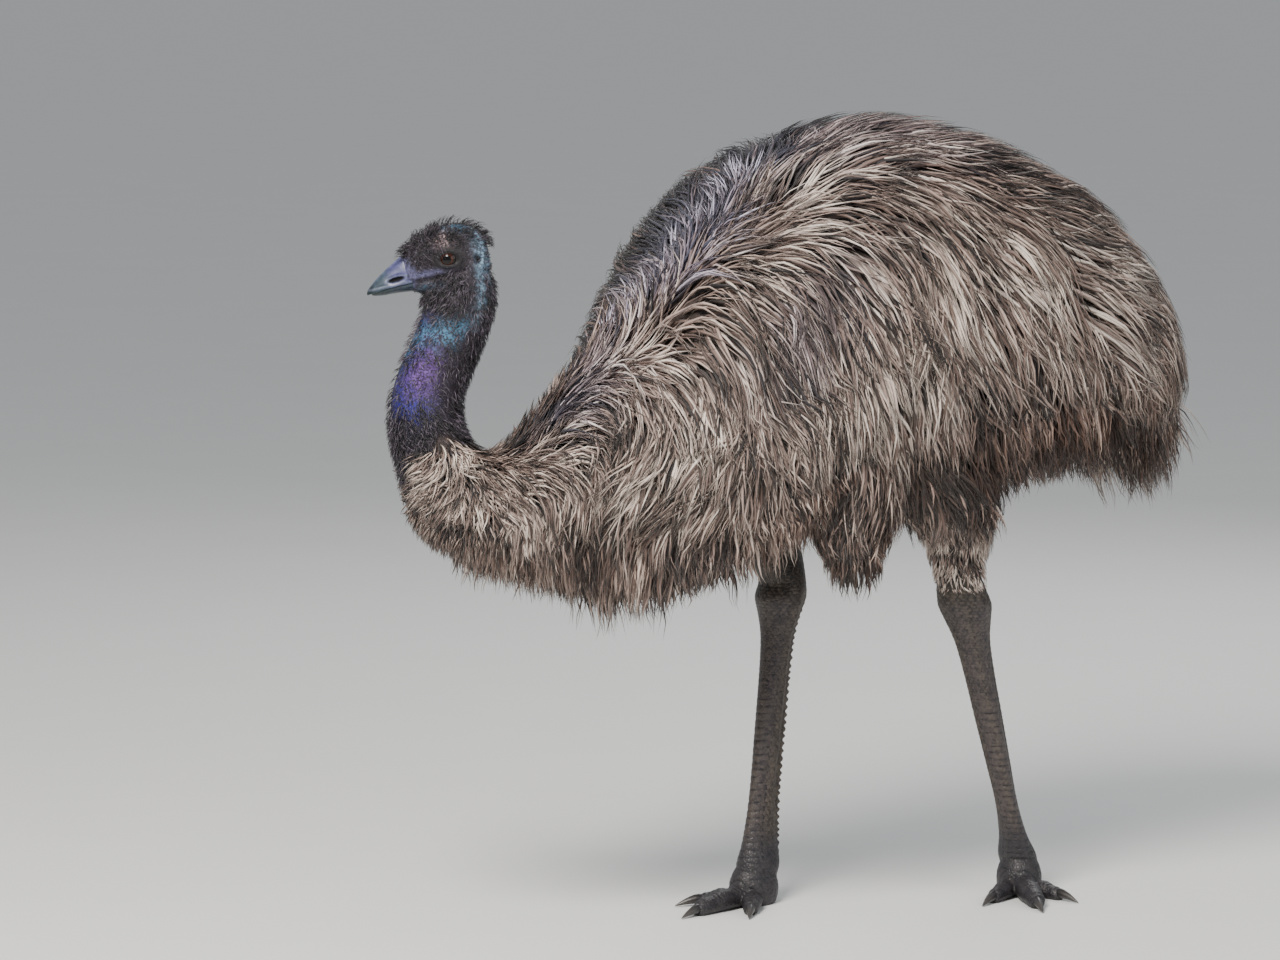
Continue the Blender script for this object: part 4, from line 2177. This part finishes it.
BLACK = {"lie": ALONG, "finish": Finish.BRISTLES}

COAT = (
    CoatPiece("tail_coat", BODY, 0.05, 2.2, 3800, TAIL_STRAND, 11, "feathers_tail"),
    CoatPiece("rump_coat", BODY, 2.0, 3.5, 4100, TAIL_STRAND, 12),
    CoatPiece("hip_coat", BODY, 3.4, 4.7, 4200, FLANK_STRAND, 13),
    CoatPiece("flank_coat", BODY, 4.6, 5.9, 4200, FLANK_STRAND, 14),
    CoatPiece("side_coat", BODY, 5.8, 7.0, 4200, FLANK_STRAND, 15),
    CoatPiece("shoulder_coat", BODY, 6.9, 8.3, 5200, SHOULDER_STRAND, 16),
    CoatPiece("breast_coat", BODY, 8.2, 9.7, 4600, BREAST_STRAND, 17),
    CoatPiece("knee_tuft_left", TUFT, 0.1, 3.95, 2100, TUFT_STRAND, 24, lie=AGAINST, marks=TUFT_MARKS),
    CoatPiece("belly_plumes", BODY, 6.4, 8.8, 1500, KNEE_STRAND, 28, keep=before_knee),
    CoatPiece("parting_plumes", BODY, 7.25, 9.1, 1100, PLUME_STRAND, 25, keep=by_parting, marks=PLUME_MARKS),
    CoatPiece("lower_neck_coat", BODY, 9.5, 11.5, 4400, NECK_STRAND, 18, "feathers_neck"),
    CoatPiece("neck_bend_coat", BODY, 11.3, 13.5, 4600, BEND_STRAND, 19, "feathers_neck", keep=below_bend),
    CoatPiece("neck_bristles", BODY, 12.3, 16.7, 7000, NECK_BRISTLE, 20, "skin_neck", keep=sparse_on_blue,
              **BLACK),
    CoatPiece("crown_bristles", SKULL, 0.2, 5.4, 780, CROWN_BRISTLE, 21, "skin_head", keep=on_crown,
              **BLACK),
    CoatPiece("forehead_bristles", SKULL, 4.6, 6.4, 130, BROW_BRISTLE, 26, "skin_head", AGAINST,
              Finish.BRISTLES, on_crown),
    CoatPiece("face_fuzz", SKULL, 0.4, 6.6, 2800, FACE_FUZZ, 27, "skin_head", keep=on_face, **BLACK),
    CoatPiece("thigh_coat_left", LEFT_THIGH, 0.8, 3.7, 3400, THIGH_STRAND, 22, **ON_THIGH),
    CoatPiece("thigh_fringe_left", LEFT_THIGH, 0.3, 1.35, 1000, FRINGE_STRAND, 29, **ON_THIGH),
    CoatPiece("thigh_coat_right", RIGHT_THIGH, 0.6, 2.6, 2000, THIGH_STRAND, 23, **ON_THIGH),
)


@dataclass(frozen=True)
class Light:
    """A soft round light that faces the bird: where it hangs, how wide it is, its watts and its colour."""

    name: str
    place: tuple[float, float, float]
    width: float
    power: float
    colour: Colour


@dataclass(frozen=True)
class Studio:
    """The floor, the lights, the room's air and the camera, in metres."""

    camera_at: tuple[float, float, float] = (5.7742, -3.8739, 1.350)
    target: tuple[float, float, float] = (-0.1621, -0.1644, 0.5666)
    lit: tuple[float, float, float] = (0.0, 0.0, 0.6)
    lens: float = 148.0
    sensor: float = 36.0
    clip: tuple[float, float] = (0.1, 500.0)
    floor: Colour = (0.80, 0.80, 0.785)
    floor_half: float = 200.0
    air: Colour = (0.86, 0.89, 0.93)
    air_strength: float = 0.48
    lights: tuple[Light, ...] = (
        Light("key", (1.6, -2.6, 3.4), 1.8, 262.0, (1.0, 0.96, 0.90)),
        Light("fill", (3.6, 1.2, 1.8), 3.0, 34.0, (0.96, 0.98, 1.0)),
        Light("back", (-2.2, 2.4, 2.6), 2.0, 38.0, (1.0, 1.0, 1.0)),
    )

    def build(self) -> None:
        """Sets the scene up round the bird."""
        self.build_floor()
        for light in self.lights:
            data = bpy.data.lights.new(light.name, "AREA")
            data.shape, data.size, data.energy, data.color = "DISK", light.width, light.power, light.colour
            self.hang(light.name, data, light.place, self.lit)
        world = bpy.data.worlds.new("room")
        world.use_nodes = True
        background = world.node_tree.nodes["Background"]
        background.inputs["Color"].default_value = (*self.air, 1.0)
        background.inputs["Strength"].default_value = self.air_strength
        bpy.context.scene.world = world
        data = bpy.data.cameras.new("camera")
        data.lens, data.sensor_width = self.lens, self.sensor
        data.clip_start, data.clip_end = self.clip
        bpy.context.scene.camera = self.hang("camera", data, self.camera_at, self.target)

    @staticmethod
    def hang(name: str, data: bpy.types.ID, place: Sequence[float], target: Sequence[float]) -> Object:
        """Places a camera or a light so that it looks at a target.

        Args:
            name: The object's name.
            data: The camera or light.
            place: Where it hangs.
            target: Where it looks.

        Returns:
            The object.
        """
        made = add_object(name, data)
        made.location = place
        made.rotation_euler = (Vector(target) - Vector(place)).to_track_quat("-Z", "Y").to_euler()
        return made

    def build_floor(self) -> None:
        """Lays a wide pale floor."""
        bm = bmesh.new()
        bmesh.ops.create_grid(bm, x_segments=2, y_segments=2, size=self.floor_half)
        mesh = bpy.data.meshes.new("floor")
        bm.to_mesh(mesh)
        bm.free()
        paint = Paint("floor", 0.85)
        paint.colour(paint.group(GRAIN, Scale=3.0, Depth=0.03, Color=(*self.floor, 1.0)).outputs["Color"])
        mesh.materials.append(paint.material)
        add_object("floor", mesh)


def main() -> None:
    """Builds the bird piece by piece."""
    logging.basicConfig(level=logging.INFO, format="%(name)s %(message)s")
    skin = Hide().build()
    nodes = ["head", "neck_upper", "neck_bend", "neck_base", "torso", "tail", "thigh_left", "thigh_right"]
    place_piece(skin, Finish.SKIN, nodes)
    Bill().build()
    for side in Side:
        Eye(side).build()
    for pose in (LEFT_LEG, RIGHT_LEG):
        Leg(pose).build()
    for piece in COAT:
        piece.build()
    Studio().build()


if __name__ == "__main__":
    main()
